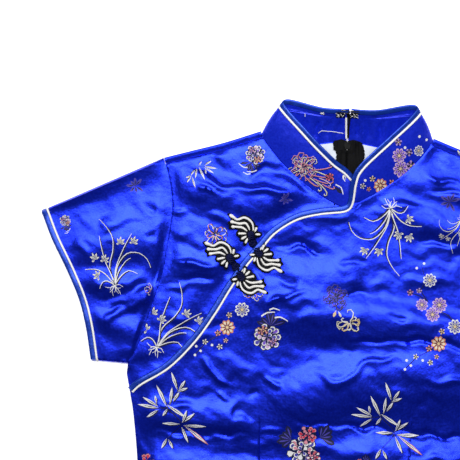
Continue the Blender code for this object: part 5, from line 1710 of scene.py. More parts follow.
def sleeve(side, word):
    """A short sleeve, flattened, from the armhole seam to the piping."""
    form = Sleeve(side)
    cloth = bpy.context.scene.top_sizes.cloth / MM
    long, half = SLEEVE_LONG, SLEEVE_ROUND
    rounds = np.arange(-half, half + 0.1, SLEEVE_STEP)
    ends = np.arange(SLEEVE_STEP, long - 1.0, SLEEVE_STEP)
    outline = np.array([*((x, -half) for x in (0.0, *ends)), *((long, y) for y in rounds),
                        *((x, half) for x in ends[::-1]), *((0.0, y) for y in rounds[::-1])])[:-1]
    step = bpy.context.scene.top_sizes.fine_step / MM
    grid = grid_over(outline, step * 1.15)
    folds = [(x, y) for x in np.arange(2.5, long - 1.0, 4.0)
             for y in (-half + 2.4, -half + 1.0, -2.4, -1.0, 0.0, 1.0, 2.4, half - 2.4, half - 1.0)]
    grid = grid[(np.abs(grid[:, 1]) > 3.5) & (np.abs(grid[:, 1]) < half - 3.5)]

    def place(plan):
        return form.points(plan[:, 0] / long, plan[:, 1] / half, CUFF_WIDTH, cloth)

    motifs = [Motif(form.unrolled(m.points), m.thread) for m in sleeve_flowers(side)]
    motifs += moved(hidden_motifs(long, half), 0.0, -half)
    made = woven_sheet(f"satin_sleeve_{word}", outline, np.vstack([grid, folds]), place, brocade_ground,
                       motifs, weld=True)
    facing_out(made)
    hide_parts(f"sleeve_{word}")
    return form


# The cuff strip's section: steps in from the sleeve's end, and depths below its outer side
CUFF_SECTION = (
    (5.5, 0.1), (4.9, -0.25), (3.6, -0.45), (2.2, -0.45), (0.9, -0.3), (0.15, 0.15), (0.0, 0.6),
    (0.15, 1.05), (0.9, 1.35), (3.0, 1.45), (5.5, 1.4),
)


def cuff_edge(form, side, word):
    """The bias strip round the sleeve's end, and the cord between it and the sleeve."""
    around = np.linspace(-1, 1, 181)[:-1]
    end = np.ones(len(around))
    rings = []
    for back, depth in CUFF_SECTION:
        outer, inner = form.points(end, around, back, CUFF_CLOTH)
        rings.append(outer + (inner - outer) * depth / CUFF_CLOTH)
    points = np.stack(rings, axis=1).reshape(-1, 3)
    points[:, 2] = np.maximum(points[:, 2], 0.0)
    faces = tube_faces(len(around), len(CUFF_SECTION), "joined")
    edge = facing_out(add_piece(f"bias_cuff_{word}", points, faces, [binding_satin()]))
    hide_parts(f"cuff_binding_{word}")
    outer, inner = form.points(end, around, BINDING_WIDTH + GAP + PIPING / 2, CUFF_CLOTH)
    middle = outer * 0.75 + inner * 0.25
    middle[:, 2] = np.maximum(middle[:, 2], CORD_RADIUS)
    line = cord(f"cord_cuff_{word}", middle, CORD_RADIUS, piping_cord(), axis=(side, -0.35, 0.0))
    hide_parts(f"cuff_piping_{word}")


# Collar


COLLAR_HIGH = 30.0
COLLAR_BELLY = 1.6
COLLAR_CLOTH = 1.1
SEAM_UNDER = 1.4
SIDE_FOLD_X = 89.5


class Collar:
    """Half of the standing collar: along from centre back to centre front, up from seam to edge."""

    def __init__(self, over):
        self.over = over
        side = 1 if over else -1
        ribs = np.array(COLLAR_BACK_RIBS + (OVER_FRONT_RIBS if over else UNDER_FRONT_RIBS))
        ribs = ribs * (side, 1, 1, side, 1, 1)
        coarse, fine = through(ribs, 9.0), through(ribs, 2.0)
        share = reach_along(coarse[:, 3:]) / reach_along(coarse[:, 3:])[-1]
        self.seam, self.top = fine[:, :3], fine[:, 3:]
        self.reach = reach_along((self.seam + self.top) / 2)
        fine_share = reach_along(self.top) / reach_along(self.top)[-1]
        self.facing = unit(interpolated(fine_share, share, self.facing_of(coarse)))
        rise = self.top - self.seam
        self.long = np.linalg.norm(rise, axis=1)
        way, along = rise / self.long[:, None], unit(np.gradient(self.top, axis=0))
        slant = np.sqrt(1 - np.clip((along * way).sum(1), -0.8, 0.8) ** 2)
        self.binding = np.clip(1 - BINDING_WIDTH / slant / self.long, 0.12, 0.95)
        self.side_fold = int(np.argmin(np.abs(np.abs(self.seam[:, 0]) - SIDE_FOLD_X)))

    def facing_of(self, ribs):
        seam, top = ribs[:, :3], ribs[:, 3:]
        way = unit(top - seam)
        facing = unit(np.cross(way, np.gradient((seam + top) / 2, axis=0)) * (1 if self.over else -1))
        for _ in range(2):
            padded = np.pad(facing, ((1, 1), (0, 0)), mode="edge")
            facing = unit(padded[:-2] + 2 * padded[1:-1] + padded[2:])
        return facing

    def at(self, values, reach):
        if values.ndim > 1:
            return interpolated(reach, self.reach, values)
        return np.interp(reach, self.reach, values)

    def place(self, plan):
        """Outer and inner points for places on the laid-out collar."""
        reach, level = plan[:, 0], plan[:, 1] / COLLAR_HIGH
        seam, top = self.at(self.seam, reach), self.at(self.top, reach)
        facing, long = self.at(self.facing, reach), self.at(self.long, reach)
        share = level * (self.at(self.binding, reach) - GAP / long)
        share = share - SEAM_UNDER / long * (1 - smooth_step(plan[:, 1] / 4.0))
        belly = COLLAR_BELLY * np.sin(math.pi * np.clip(level, 0, 1) * 0.9)
        belly = belly + sum(crease_rise(c, plan) for c in COLLAR_CREASES)
        middle = seam + (top - seam) * share[:, None] + facing * belly[:, None]
        return middle + facing * COLLAR_CLOTH / 2, middle - facing * COLLAR_CLOTH / 2

    def unrolled(self, spots):
        """Where points of the plan lie on the laid-out front of the collar."""
        k = self.side_fold + 4
        front = Ruled(self.seam[k:], self.top[k:], self.reach[k:])
        reach, share = front.find(spots)
        return np.column_stack([reach, share / self.at(self.binding, reach) * COLLAR_HIGH])

    def edge_lines(self):
        """Inner line, free edge, facing direction and the cord's line."""
        rise, level = self.top - self.seam, self.binding[:, None]
        inner = self.seam + rise * (level + GAP / self.long[:, None])
        lift = BINDING_THICK / 2 + 2 * GAP + PIPING / 2 - 0.5
        return inner, self.top, self.facing, self.seam + rise * level + self.facing * lift


def collar_half(form, word):
    """Half of the standing collar, up to its binding."""
    long = form.reach[-1]
    ends = np.arange(4.0, COLLAR_HIGH - 1.0, 4.0)
    runs = np.arange(0.0, long - 2.0, 4.0)
    outline = np.array([*((x, 0.0) for x in runs), *((long, y) for y in (0.0, *ends, COLLAR_HIGH)),
                        *((x, COLLAR_HIGH) for x in runs[::-1]), *((0.0, y) for y in ends[::-1])])
    grid = grid_over(outline, 2.2)
    motifs = [Motif(form.unrolled(m.points), m.thread) for m in collar_flowers(word)]
    motifs += collar_back_flowers(word)
    made = woven_sheet(f"satin_collar_{word}", outline, grid, form.place, stiffened_brocade, motifs)
    facing_out(made)
    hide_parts(f"collar_{word}")
    long * MM
    long * MM * 0.030
    return made


# Edges: bias strips and cords


EDGE_SECTION = ((0.0, 0.28), (0.1, 0.42), (0.3, 0.5), (0.55, 0.52), (0.78, 0.46), (0.93, 0.3), (1.0, 0.0),
                (0.93, -0.3), (0.7, -0.45), (0.3, -0.48), (0.0, -0.4))


def edge_strip(name, inner, outer, up, nodes):
    """A folded bias strip between its inner line and its free edge."""
    made = strip(name, inner, outer, up * BINDING_THICK, EDGE_SECTION, binding_satin())
    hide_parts(*nodes)
    return made


def edge_cord(name, path, nodes):
    made = cord(name, path, CORD_RADIUS, piping_cord())
    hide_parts(*nodes)


def placket_lines(relief):
    """Inner line, free edge, facing direction and the cord's line along the placket."""
    line = through(PLACKET, 2.5)
    out = -left_of(line)
    level = np.array([relief.around(*(p + o * 2.5), 3.5) for p, o in zip(line, out)])
    for _ in range(6):
        level = np.maximum(level, softened(level))
    level = level + GAP
    inner = np.column_stack([line + out * GAP, level + BINDING_THICK / 2])
    outer = np.column_stack([line + out * (BINDING_WIDTH + GAP), level + BINDING_THICK / 2 - 0.2])
    up = np.tile(UP, (len(line), 1))
    return inner, outer, up, np.column_stack([line - out * PIPING / 2, level + PIPING / 2])


def joined(first, second):
    """Two lines run into one, rounded where they meet."""
    line = np.vstack([first, second])
    window = slice(len(first) - 7, len(first) + 7)
    for _ in range(12):
        softer = line.copy()
        softer[1:-1] = (line[:-2] + 2 * line[1:-1] + line[2:]) / 4
        line[window] = softer[window]
    return line


# Frogs


WING_OUTLINE = rows(
    Spot,
    (-22.4, 22.4), (-17.2, 18.6), (-14, 17), (-7.6, 20.2), (-1, 18.2), (3.8, 13.2), (5.6, 9.6), (8, 8.8),
    (7.4, 3.6), (11.8, 1.8), (11.6, -2.2), (6.4, -3.6), (1.4, -5), (-2.6, -7), (-4.2, -11.6), (-7.4, -11),
    (-7.8, -7.4), (-11.4, -6.6), (-11.4, -3.6), (-15, -1), (-15, 2.8), (-13.2, 4.6), (-17.4, 6),
    (-22.4, 5.4), (-22.6, 9.2), (-24.2, 12.4), (-20.8, 15.2), (-22.8, 18.2), (-24.6, 21),
)
WING_ARMS = (
    ((2.6, 3.4), (2.7, 7.4), (1.3, 12.2), (-2.7, 16.0), (-7.4, 17.4), (-13.6, 15.4), (-18.0, 18.0),
     (-22.2, 20.6)),
    ((-1.0, 4.2), (-2.4, 8.0), (-5.4, 11.6), (-11.4, 11.2), (-17.0, 12.4), (-21.4, 13.6)),
    ((-3.4, 3.2), (-8.2, 6.8), (-13.0, 7.6), (-20.4, 8.0)),
    ((-4.4, 0.8), (-13.2, 0.9)),
    ((-4.2, -1.9), (-9.8, -5.1)),
    ((-3.0, -4.0), (-5.6, -9.6)),
    ((4.8, 0.0), (10.2, -0.2)),
    ((4.2, 2.4), (6.6, 7.4)),
)
# Half widths of a stripe, at shares of its length
ARM_SHARES = (0.0, 0.2, 0.5, 0.78, 0.92, 1.0)
ARM_HALVES = (0.7, 1.05, 1.3, 1.15, 1.75, 1.6)
WING_THICK = 2.2
Wing = namedtuple("Wing", "name x y turn")
WINGS = rows(
    Wing,
    ("upper_right", -97.3, -106.5, 2.5), ("lower_right", -118.4, -131.6, 14.5),
    ("upper_left", -87.1, -126.9, 187.5), ("lower_left", -104.6, -152.4, 194.5),
)
Knot = namedtuple("Knot", "name x y")
KNOTS = rows(
    Knot,
    ("upper", -94.4, -115.4), ("lower", -110.8, -141.4),
)
KNOT_RADIUS = 5.0
LOOP_STRANDS = 4
LOOP_TURNS = 2.5
LOOP_HALF = 2.6
LOOP_CORD = 0.75


def frog_pad(wing, relief):
    """The dark folded ribbon of one wing, puffed between its stripes."""
    corners = turned(WING_OUTLINE, wing.x, wing.y, wing.turn)
    outline = through(looped(counter_clockwise(corners)), 1.6)[:-1]
    grid = grid_over(outline, 1.3)
    base = max(relief.around(*p, 4.0) for p in corners) + GAP
    arms = [through(turned(arm, wing.x, wing.y, wing.turn), 2.0) for arm in WING_ARMS]

    def place(plan):
        under = np.array([relief.around(*p, 4.0) for p in plan]) + GAP
        under = 0.6 * under + 0.4 * min(base, under.max())
        crown = WING_THICK * (0.45 + 0.55 * smooth_step(distance_to(looped(outline), plan) / 2.6))
        groove = np.min([distance_to(arm, plan) for arm in arms], axis=0)
        crown = crown - 0.5 * (1 - smooth_step(np.abs(groove - 1.5) / 0.8))
        return np.column_stack([plan, under + crown]), np.column_stack([plan, under])

    made = woven_sheet(f"frog_ribbon_{wing.name}", outline, grid, place, lambda: frog_satin("frog_ribbon"))
    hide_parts(f"frog_wing_{wing.name}")
    return made


def frog_stripes(wing, relief):
    """The white folds of one wing, each a raised strip that widens to a round end."""
    points, faces = [], []
    section = [(math.cos(a), math.sin(a)) for a in np.radians((0, 30, 60, 90, 120, 150, 180, 230, 310))]
    for arm in WING_ARMS:
        path = through(turned(arm, wing.x, wing.y, wing.turn), 1.1)
        half = np.interp(np.linspace(0, 1, len(path)), ARM_SHARES, ARM_HALVES)
        reach = reach_along(path)
        ends = np.minimum(reach / 0.9, (reach[-1] - reach) / 1.2)
        half = half * np.sqrt(np.clip(1 - (1 - np.clip(ends, 0.02, 1)) ** 2, 0.03, 1))
        top = np.array([relief.around(*p, 0.9) for p in path])
        for _ in range(3):
            top = softened(top)
        middle = np.column_stack([path, top + 0.15])
        across, up = sideways(middle)
        faces += tube_faces(len(middle), len(section), start=len(points))
        high = 1.15 * np.minimum(1.0, half)
        points += carried(middle, across * half[:, None], up * high[:, None], section)
    made = facing_out(add_piece(f"frog_folds_{wing.name}", points, faces, [frog_satin("frog_stripe")]))
    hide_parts(f"frog_stripes_{wing.name}")


def frog_heart(wing, relief):
    """The small dark rosette where a wing's folds meet: a cord coiled on itself."""
    base = relief.around(wing.x, wing.y, 1.5)
    share = np.linspace(0, 1, 60)
    turns, spread = np.linspace(0, 5 * math.pi, 60), np.linspace(3.0, 0.3, 60)
    path = np.column_stack([wing.x + spread * np.cos(turns), wing.y + spread * np.sin(turns),
                            base + 0.25 + 0.9 * share])
    made = cord(f"frog_heart_{wing.name}", path, LOOP_CORD, frog_satin("frog_knot"), sides=6)


def frog_loop(knot, first, second, relief):
    """The twisted cords that run from one wing over the button to the other."""
    reach = np.linspace(0, 1, 46)
    middle = through(((first.x, first.y), (knot.x, knot.y), (second.x, second.y)), 1.0)
    middle = interpolated(reach, np.linspace(0, 1, len(middle)), middle)
    across = left_of(middle)
    level = np.array([relief.around(*p, 2.0) for p in middle])
    level = np.convolve(np.pad(level, 3, mode="edge"), np.ones(7) / 7, mode="valid")
    points, faces = [], []
    for strand in range(LOOP_STRANDS):
        angle = 2 * math.pi * (LOOP_TURNS * reach + strand / LOOP_STRANDS)
        path = middle + across * (LOOP_HALF * np.sin(angle))[:, None]
        path = np.column_stack([path, level + LOOP_CORD + 0.5 * LOOP_HALF * (1 + np.cos(angle)) * 0.6])
        faces += tube_faces(len(path), 6, start=len(points))
        points += carried(path, *sideways(path), round_section(LOOP_CORD, 6))
    made = facing_out(add_piece(f"frog_loop_{knot.name}", points, faces, [frog_satin("frog_knot")]))


def frog_knot(knot, relief):
    """The ball button of a frog: a cord knotted over itself."""
    base = relief.around(knot.x, knot.y, KNOT_RADIUS * 0.7) + GAP
    wide, tall, thread = KNOT_RADIUS / 2 - 0.1, 2.0, 1.15
    turns = np.linspace(0, 2 * math.pi, 181)[:-1]
    spread = 1 + 0.62 * np.cos(5 * turns)
    path = np.column_stack([
        knot.x + wide * spread * np.cos(3 * turns),
        knot.y + wide * spread * np.sin(3 * turns),
        base + thread + tall * (0.75 + 0.75 * np.sin(5 * turns)),
    ])
    made = cord(f"frog_button_{knot.name}", path, thread, frog_satin("frog_knot"), 7, (0.2, 0.1, 1.0))
    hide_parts(f"frog_knot_{knot.name}")


# Inside the back: lining and zip


LINING_HALF = 78.0
LINING_INNER = 9.8
LINING_SIDE = 25.0
LINING_DROP = 92.0
LINING_THICK = 0.8
TAPE_HALF = 13.0
ZIP_TOP = -5.0
ZIP_LONG = 384.0
COIL_PITCH = 1.35
COIL_RADIUS = 0.62
COIL_WIRE = 0.2
SLIDER_HALF = 4.2
SLIDER_LONG = 8.0
SLIDER_THICK = 2.7
LUG_HALF = 1.0
LUG_LOW = 0.6
PULL_Y = ZIP_TOP - SLIDER_LONG / 2
PULL_Z = 1.1
PULL_THICK = 1.0
PULL_HALF = 3.0
PULL_LONG = 22.0
PULL_ROOT = 4.5
EAR_WIDE = 1.4
EAR_REACH = 0.9
WIRE = 0.4


def flat_sheet(name, outline, step, thick, material, wrinkle):
    """Cloth or tape that lies on the back, lifted with it near the top of the zip."""
    def place(plan):
        under = INSIDE_LOW + neck_lift(plan[:, 0], plan[:, 1])
        top = under + thick + wrinkle(plan)
        return np.column_stack([plan, top]), np.column_stack([plan, np.maximum(under, top - thick)])

    outline = counter_clockwise(outline)
    return woven_sheet(name, outline, grid_over(outline, step), place, material)


def lining(side, word):
    """The white lining inside the neck, on one half of the back."""
    neck_x, neck_y = BACK_NECKS[1].T
    outline = [(x, np.interp(x, neck_x, neck_y) - 1.6)
               for x in (LINING_INNER, 22.0, 30.0, 40.0, 50.0, 60.0, 70.0)]
    outline += [
        (LINING_HALF * math.cos(a), -LINING_SIDE - (LINING_DROP - LINING_SIDE) * math.sin(a))
        for a in np.radians(np.arange(0, 75, 6))
    ]
    outline = np.array(outline + [(LINING_INNER, y) for y in np.linspace(-LINING_DROP, -18.0, 16)])

    def wrinkle(plan):
        x, y = plan.T
        wave = np.sin(x * 0.42 + y * 0.1) + np.sin(x * 0.23 - y * 0.3)
        return 0.25 * wave * smooth_step((np.abs(x) - LINING_INNER) / 6.0) - 0.2

    made = flat_sheet(f"white_lining_{word}", outline * (side, 1), 2.5, LINING_THICK,
                      lambda: plain_cloth("white_lining", "lining", 0.6), wrinkle)
    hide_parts(f"lining_{word}")
    flat_area(outline)


# Half widths of the two tapes, level by level from the top of the zip
TAPE_LEVELS = (4.0, 6.9, 13.5, 18.5, 27.0, 60.0, 100.0)
TAPE_EDGES = {
    1: (15.0, 16.0, 18.2, 18.8, 17.4, 15.0, 13.0),
    -1: (14.6, 15.4, 12.9, 10.9, 11.2, 12.0, 13.0),
}
TAPE_INNER = 0.25
TAPE_THICK = 0.7


def zip_tape(side, word):
    """One tape of the zip: it runs in under the coil, and spreads over the lining near the neck."""
    foot = ZIP_TOP - ZIP_LONG
    levels = [*np.arange(ZIP_TOP - 1.5, -40.0, -1.5), *np.arange(-44.0, foot, -6.0), foot]

    def half_at(y):
        return float(np.interp(-y, TAPE_LEVELS, TAPE_EDGES[side])) + 0.35 * math.sin(1.7 * y)

    outline = [(TAPE_INNER, y) for y in (ZIP_TOP + 1.0, *levels)]
    outline += [(half_at(y), y) for y in reversed(levels)]
    outline += [(half_at(ZIP_TOP) - 1.5, ZIP_TOP + 0.6), (6.5, ZIP_TOP + 2.4)]

    def pleats(plan):
        x, y = np.abs(plan[:, 0]), plan[:, 1]
        near_neck = smooth_step((y + 100.0) / 40.0)
        fan = x / (1 + 0.012 * np.maximum(-y, 0.0))
        ridges = 1.3 - 1.9 * np.abs(np.sin(fan * 0.62 + 0.4 * side)) + 0.5 * np.sin(x * 0.7 - 0.12 * y)
        over_lining = (LINING_THICK + 0.9) * smooth_step((x - LINING_INNER + 2.2) / 2.0)
        by_slider = 0.9 * smooth_step((y - ZIP_TOP + SLIDER_LONG + 5.0) / 4.0) * smooth_step((9.0 - x) / 3.0)
        return (0.75 * ridges * smooth_step((x - 2.5) / 2.5) + over_lining) * near_neck + by_slider

    made = flat_sheet(f"zip_cloth_{word}", np.array(outline) * (side, 1), 1.6, TAPE_THICK, zip_cloth, pleats)
    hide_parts(f"zip_tape_{word}")
    if side < 0:
        tape_end()


TAPE_END = ((-13.6, -4.4), (-4.9, -4.0), (-4.7, -13.4), (-13.8, -14.2))


def tape_end():
    """The tape's upper end, turned down on itself beside the slider."""
    outline = counter_clockwise(through([*TAPE_END, TAPE_END[0]], 1.5)[:-1])

    def place(plan):
        low = INSIDE_LOW + neck_lift(plan[:, 0], plan[:, 1]) + 1.6
        top = low + 0.9 + 0.25 * np.sin(plan[:, 0] * 0.9)
        return np.column_stack([plan, top]), np.column_stack([plan, low])

    made = woven_sheet("zip_cloth_end", outline, grid_over(outline, 1.5), place, zip_cloth)


def zip_coils():
    """The two interlocked coils."""
    top = ZIP_TOP - SLIDER_LONG - GAP
    turns = int((ZIP_LONG - SLIDER_LONG) / COIL_PITCH)
    angle = np.linspace(0, 2 * math.pi * turns, turns * 7)
    y = top - 0.5 - angle / (2 * math.pi) * COIL_PITCH
    for side, word in HALVES:
        x = side * (0.72 + 0.95 * np.cos(angle))
        z = INSIDE_LOW + COIL_WIRE + COIL_RADIUS * (1 + np.sin(angle)) * 0.9 + neck_lift(x, y)
        path = np.column_stack([x, y if side > 0 else y - COIL_PITCH / 2, z])
        made = cord(f"zip_coil_{word}", path, COIL_WIRE, plain_cloth("zip_coil", "tape", 0.35), sides=4)
        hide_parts("zip_chain")


def plate(name, outline, low, high, chamfer, material):
    """A plate with softened upper and lower edges."""
    outline = counter_clockwise(np.array(outline, float))
    centre = outline.mean(0)
    away = np.linalg.norm(outline - centre, axis=1)[:, None]
    small = centre + (outline - centre) * (1 - chamfer / np.maximum(away, chamfer * 2))
    levels = ((small, low), (outline, low + chamfer), (outline, high - chamfer), (small, high))
    points = [(x, y, z) for ring, z in levels for x, y in ring]
    made = facing_out(add_piece(name, points, tube_faces(len(levels), len(outline)), [material]))
    return made


def both_sides(half):
    """An outline from its right half, mirrored."""
    return np.array([*half, *((-x, y) for x, y in reversed(half))])


def zip_slider_and_pull():
    """The slider's two plates and its post, and the tab that swings on the post."""
    black = metal("black_enamel", 0.004, 0.5, 0.1, 0.12)
    low = INSIDE_LOW + NECK_LIFT
    top, back, front = low + SLIDER_THICK, ZIP_TOP, ZIP_TOP - SLIDER_LONG
    half = [(SLIDER_HALF * 0.75, back), (SLIDER_HALF, back - 2.2), (SLIDER_HALF * 0.7, front + 1.5),
            (SLIDER_HALF * 0.62, front)]
    lug = [(LUG_HALF, back - 0.3), (LUG_HALF, front + 0.3)]
    upper = plate("slider_plate_top", both_sides(half), top - 0.9, top, 0.3, black)
    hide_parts("zip_slider")
    plate("slider_plate_under", both_sides(half), low, low + 0.8, 0.25, black)
    plate("slider_post", both_sides(lug), LUG_LOW, top - 0.5, 0.2, black)
    ear_in, ear_out = LUG_HALF + GAP, LUG_HALF + GAP + EAR_WIDE
    root_y, end_y, ear_y = PULL_Y - PULL_ROOT, PULL_Y - PULL_LONG, PULL_Y + EAR_REACH
    outline = counter_clockwise(both_sides([
        (ear_in, root_y), (ear_in, ear_y - 0.3), (ear_in + 0.3, ear_y), (ear_out - 0.3, ear_y),
        (ear_out, ear_y - 0.3), (ear_out, root_y), (PULL_HALF, root_y - 4.0), (PULL_HALF, end_y + 2.0),
        (PULL_HALF - 0.5, end_y + 0.7), (PULL_HALF - 1.4, end_y),
    ]))

    def place(plan):
        soft = 0.2 * (1 - smooth_step(distance_to(looped(outline), plan) / 0.4))
        high = np.full(len(plan), PULL_Z + PULL_THICK / 2) - soft
        return np.column_stack([plan, high]), np.column_stack([plan, 2 * PULL_Z - high])

    tab = woven_sheet("pull_tab", outline, grid_over(outline, 0.6), place, lambda: black, body=PULL)
    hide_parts("zip_pull")


# The table, the camera (its centre, how wide it sees from how far, its turn) and the large lamp


TABLE_HALF = 6.0
FLOOR_DROP = 0.0002
VIEW_CENTRE = (-0.119, -0.1029 + TABLE_Y * MM)
VIEW_WIDTH = 0.483
VIEW_FROM = 1.1
VIEW_TURN = math.radians(2.5)
SENSOR = 36.0
KEY_SIZE = (1.5, 0.8)
KEY_BEYOND = 0.55
KEY_HIGH = 1.5


def camera_and_lamps(scene):
    lights = scene.top_lights
    x, y = VIEW_CENTRE
    lens = bpy.data.cameras.new("camera")
    lens.sensor_width = SENSOR
    lens.lens = SENSOR * VIEW_FROM / VIEW_WIDTH
    camera = bpy.data.objects.new("camera", lens)
    camera.location = (x, y, lights.camera_height)
    camera.rotation_euler = (0.0, 0.0, VIEW_TURN)
    scene.collection.objects.link(camera)
    scene.camera = camera
    lamp = bpy.data.lights.new("key", "AREA")
    lamp.shape = "RECTANGLE"
    lamp.size, lamp.size_y = KEY_SIZE
    lamp.energy = lights.key
    key = bpy.data.objects.new("key", lamp)
    key.location = (x, y + KEY_BEYOND, KEY_HIGH)
    aim = Vector((x, y, 0.0)) - key.location
    key.rotation_euler = aim.to_track_quat("-Z", "Y").to_euler()
    scene.collection.objects.link(key)
    world = scene.world or bpy.data.worlds.new("room")
    scene.world = world
    world.use_nodes = True
    sky = world.node_tree.nodes["Background"].inputs
    sky["Color"].default_value = (1.0, 1.0, 1.0, 1.0)
    sky["Strength"].default_value = lights.fill
    scene.view_settings.view_transform = "Standard"
    scene.view_settings.look = "None"


# The hook and eye at centre back, and the hand stitches


# The wires' lines, with Y and Z counted from where they meet, and the sewing thread's radius
WIRE_Y, WIRE_Z = 24.4, 21.9
HOOK_LINE = (
    (9.6, 0.9, 0.0), (6.0, 0.9, 0.2), (1.6, 0.6, 0.5), (-1.2, 0.3, 0.2), (-1.9, -0.2, -0.5),
    (-1.1, -0.6, -0.8), (1.8, -0.7, -0.6), (6.0, -1.0, -0.1), (9.6, -1.0, 0.0),
)
EYE_LINE = (
    (-9.6, 1.4, 0.0), (-6.0, 1.2, 0.0), (-2.6, 1.5, 0.0), (-0.9, 0.9, -0.1), (-0.5, 0.0, -0.1),
    (-0.9, -0.9, -0.1), (-2.6, -1.5, 0.0), (-6.0, -1.2, 0.0), (-9.6, -1.4, 0.0),
)
STITCH_THREAD = 0.36


def hook_and_eye(relief):
    """A wire hook and eye on the collar's back opening, each sewn down with thread."""
    steel = metal("black_wire", 0.02, 0.3, 0.7)
    for name, node, line in (("wire_hook", "hook", HOOK_LINE), ("wire_eye", "eye", EYE_LINE)):
        made = cord(name, through(np.array(line) + (0.0, WIRE_Y, WIRE_Z), 0.5), WIRE, steel, sides=8)
        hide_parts(node)
    stitches("thread_black", BLACK_STITCHES, plain_cloth("black_thread", "tape", 0.5), relief)
    stitches("thread_white", WHITE_STITCHES, plain_cloth("white_thread", "piping", 0.5), relief)


def stitches(name, table, thread, relief):
    """Short loops of thread over the collar's inside, each a little raised."""
    points, faces = [], []
    share = np.linspace(0, 1, 7)
    for stitch in table:
        x = stitch.x0 + (stitch.x1 - stitch.x0) * share
        y = stitch.y0 + (stitch.y1 - stitch.y0) * share
        level = np.array([relief.around(a, b, 0.4) for a, b in zip(x, y)])
        path = np.column_stack([x, y, level + stitch.high * np.sin(math.pi * share) + 0.05])
        faces += tube_faces(len(path), 5, "open", len(points))
        points += carried(path, *sideways(path), round_section(STITCH_THREAD, 5))
    add_piece(name, points, faces, [thread])


# The pieces, built in order


def build_front():
    return Relief(
        front_panel("satin_front_main", "front_main", MAIN_TUCKED, MAIN_FREE, main_height, FRONT_GROWTHS),
        front_panel("satin_front_shoulder", "front_shoulder_right", UNDER_TUCKED, UNDER_FREE, under_height,
                    SHOULDER_GROWTHS),
    )


OPENING_FOOT = np.array((-1.3, -1.4))
OPENING_HEAD = np.array((-3.5, 18.8))
OPENING_RIGHT = 1.5
FACING_SECTION = ((0.0, 0.2), (0.5, 0.35), (1.0, 0.2), (1.0, -0.3), (0.0, -0.3))


def opening_edge(relief):
    """The white edge of the right half at the back opening, and the dark facing beside it."""
    def level(y):
        return max(relief.top(x, y) or 0.0 for x in (-4.6, -2.5, 2.5))

    line = OPENING_FOOT + (OPENING_HEAD - OPENING_FOOT) * np.linspace(0, 1, 24)[:, None]
    heights = np.array([level(y) for y in line[:, 1]])
    edge = cord("opening_cord", np.column_stack([line, heights + 0.4]), 1.1, piping_cord())
    inner = np.column_stack([line + (0.4, 0.0), heights + 0.3])
    outer = np.column_stack([np.full(len(line), OPENING_RIGHT), line[:, 1], heights + 0.3])
    beyond = (0.0, 4.0, 2.4)
    inner, outer = np.vstack([inner, inner[-1] + beyond]), np.vstack([outer, outer[-1] + beyond])
    up = np.tile((0.0, -0.5, 0.87), (len(inner), 1))
    made = strip("opening_facing", inner, outer, up, FACING_SECTION, zip_cloth())


CORNER = ((5.5, -68.0), (10.0, -65.5), (16.0, -66.0), (17.0, -71.0), (12.5, -75.0), (6.5, -73.5))


def front_corner(relief):
    """The main panel's corner, turned in under the cord where the placket leaves the collar."""
    outline = counter_clockwise(through([*CORNER, CORNER[0]], 1.2)[:-1])
    level = relief.around(PLACKET[0].x + 2.5, PLACKET[0].y - 3.0, 1.5) - 0.3

    def place(plan):
        high = np.full(len(plan), level)
        return np.column_stack([plan, high]), np.column_stack([plan, high - 0.5])

    made = woven_sheet("satin_front_corner", outline, grid_over(outline, 1.5), place, brocade_ground)


def build_edges(relief, collars):
    """Strips and cords of the collar and the placket; the left collar's run on along the placket."""
    over, under = collars
    inner, top, facing, line = (
        joined(high[:-3], low[3:]) for high, low in zip(over.edge_lines(), placket_lines(relief))
    )
    strips = [edge_strip("bias_front", inner, top, unit(facing), ["collar_binding_left", "placket_binding"])]
    edge_cord("cord_front", line, ["collar_piping_left", "placket_piping"])
    inner, top, facing, line = under.edge_lines()
    strips.append(edge_strip("bias_collar_right", inner, top, facing, ["collar_binding_right"]))
    edge_cord("cord_collar_right", line, ["collar_piping_right"])
    return strips


BUILT = {}


class TopFront(bpy.types.Operator):
    """Front panels with their folds and flowers"""

    bl_idname = "top.front"
    bl_label = "Front"

    def execute(self, context):
        BUILT["relief"] = build_front()
        return {"FINISHED"}


class TopBack(bpy.types.Operator):
    """Back panels, flat on the table and turned over the shoulders"""

    bl_idname = "top.back"
    bl_label = "Back"

    def execute(self, context):
        for side, word in HALVES:
            back_panel(side, word)
        return {"FINISHED"}


class TopSleeves(bpy.types.Operator):
    """Sleeves with their bound and corded cuffs"""

    bl_idname = "top.sleeves"
    bl_label = "Sleeves"

    def execute(self, context):
        for side, word in HALVES:
            cuff_edge(sleeve(side, word), side, word)
        return {"FINISHED"}


class TopCollar(bpy.types.Operator):
    """Both halves of the standing collar"""

    bl_idname = "top.collar"
    bl_label = "Collar"

    def execute(self, context):
        BUILT["collars"] = Collar(True), Collar(False)
        BUILT["collar_halves"] = [
            collar_half(form, word) for form, word in zip(BUILT["collars"], ("left", "right"))
        ]
        return {"FINISHED"}


class TopEdges(bpy.types.Operator):
    """Bias strips and cords of the collar and the placket"""

    bl_idname = "top.edges"
    bl_label = "Edges"

    def execute(self, context):
        strips = build_edges(BUILT["relief"], BUILT["collars"])
        BUILT["collar_relief"] = Relief(*BUILT["collar_halves"], *strips)
        opening_edge(BUILT["collar_relief"])
        front_corner(BUILT["relief"])
        return {"FINISHED"}


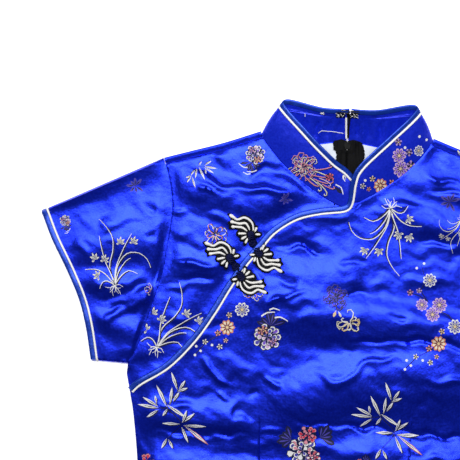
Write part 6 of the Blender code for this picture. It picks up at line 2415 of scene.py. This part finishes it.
class TopFrogs(bpy.types.Operator):
    """Two frog fastenings"""

    bl_idname = "top.frogs"
    bl_label = "Frogs"

    def execute(self, context):
        over_pads = Relief(*(frog_pad(wing, BUILT["relief"]) for wing in WINGS))
        over_pads.trees += BUILT["relief"].trees
        for wing in WINGS:
            frog_stripes(wing, over_pads)
            frog_heart(wing, over_pads)
        for knot, first, second in zip(KNOTS, WINGS[:2], WINGS[2:]):
            frog_loop(knot, first, second, over_pads)
            frog_knot(knot, over_pads)
        return {"FINISHED"}


class TopInside(bpy.types.Operator):
    """Lining, zip, hook and eye inside the back"""

    bl_idname = "top.inside"
    bl_label = "Inside"

    def execute(self, context):
        for side, word in HALVES:
            lining(side, word)
            zip_tape(side, word)
        zip_coils()
        zip_slider_and_pull()
        hook_and_eye(BUILT["collar_relief"])
        return {"FINISHED"}


class TopStage(bpy.types.Operator):
    """Table, lamps and camera"""

    bl_idname = "top.stage"
    bl_label = "Stage"

    def execute(self, context):
        mesh = bpy.data.meshes.new("table")
        square = ((-1, -1), (1, -1), (1, 1), (-1, 1))
        corners = [(x * TABLE_HALF, y * TABLE_HALF, -FLOOR_DROP) for x, y in square]
        mesh.from_pydata(corners, [], [(0, 1, 2, 3)])
        mesh.materials.append(paper_floor())
        table = bpy.data.objects.new("table", mesh)
        context.scene.collection.objects.link(table)
        camera_and_lamps(context.scene)
        return {"FINISHED"}


class TopPanel(bpy.types.Panel):
    """Buttons that build the top, in order"""

    bl_idname = "VIEW3D_PT_brocade_top"
    bl_label = "Brocade Top"
    bl_space_type = "VIEW_3D"
    bl_region_type = "UI"
    bl_category = "Brocade Top"

    def draw(self, context):
        for step in STEPS:
            self.layout.operator(step.bl_idname)
        for group in ("top_sizes", "top_colours", "top_lights"):
            settings = getattr(context.scene, group)
            for name in settings.__annotations__:
                self.layout.prop(settings, name)


STEPS = (TopFront, TopBack, TopSleeves, TopCollar, TopEdges, TopFrogs, TopInside, TopStage)
GROUPS = (("top_sizes", TopSizes), ("top_colours", TopColours), ("top_lights", TopLights))


def register():
    for name, group in GROUPS:
        bpy.utils.register_class(group)
        setattr(bpy.types.Scene, name, bpy.props.PointerProperty(type=group))
    for step in (*STEPS, TopPanel):
        bpy.utils.register_class(step)


def unregister():
    for step in (TopPanel, *reversed(STEPS)):
        bpy.utils.unregister_class(step)
    for name, group in reversed(GROUPS):
        delattr(bpy.types.Scene, name)
        bpy.utils.unregister_class(group)


def main():
    register()
    for step in STEPS:
        group, name = step.bl_idname.split(".")
        getattr(getattr(bpy.ops, group), name)()


if __name__ == "__main__":
    main()
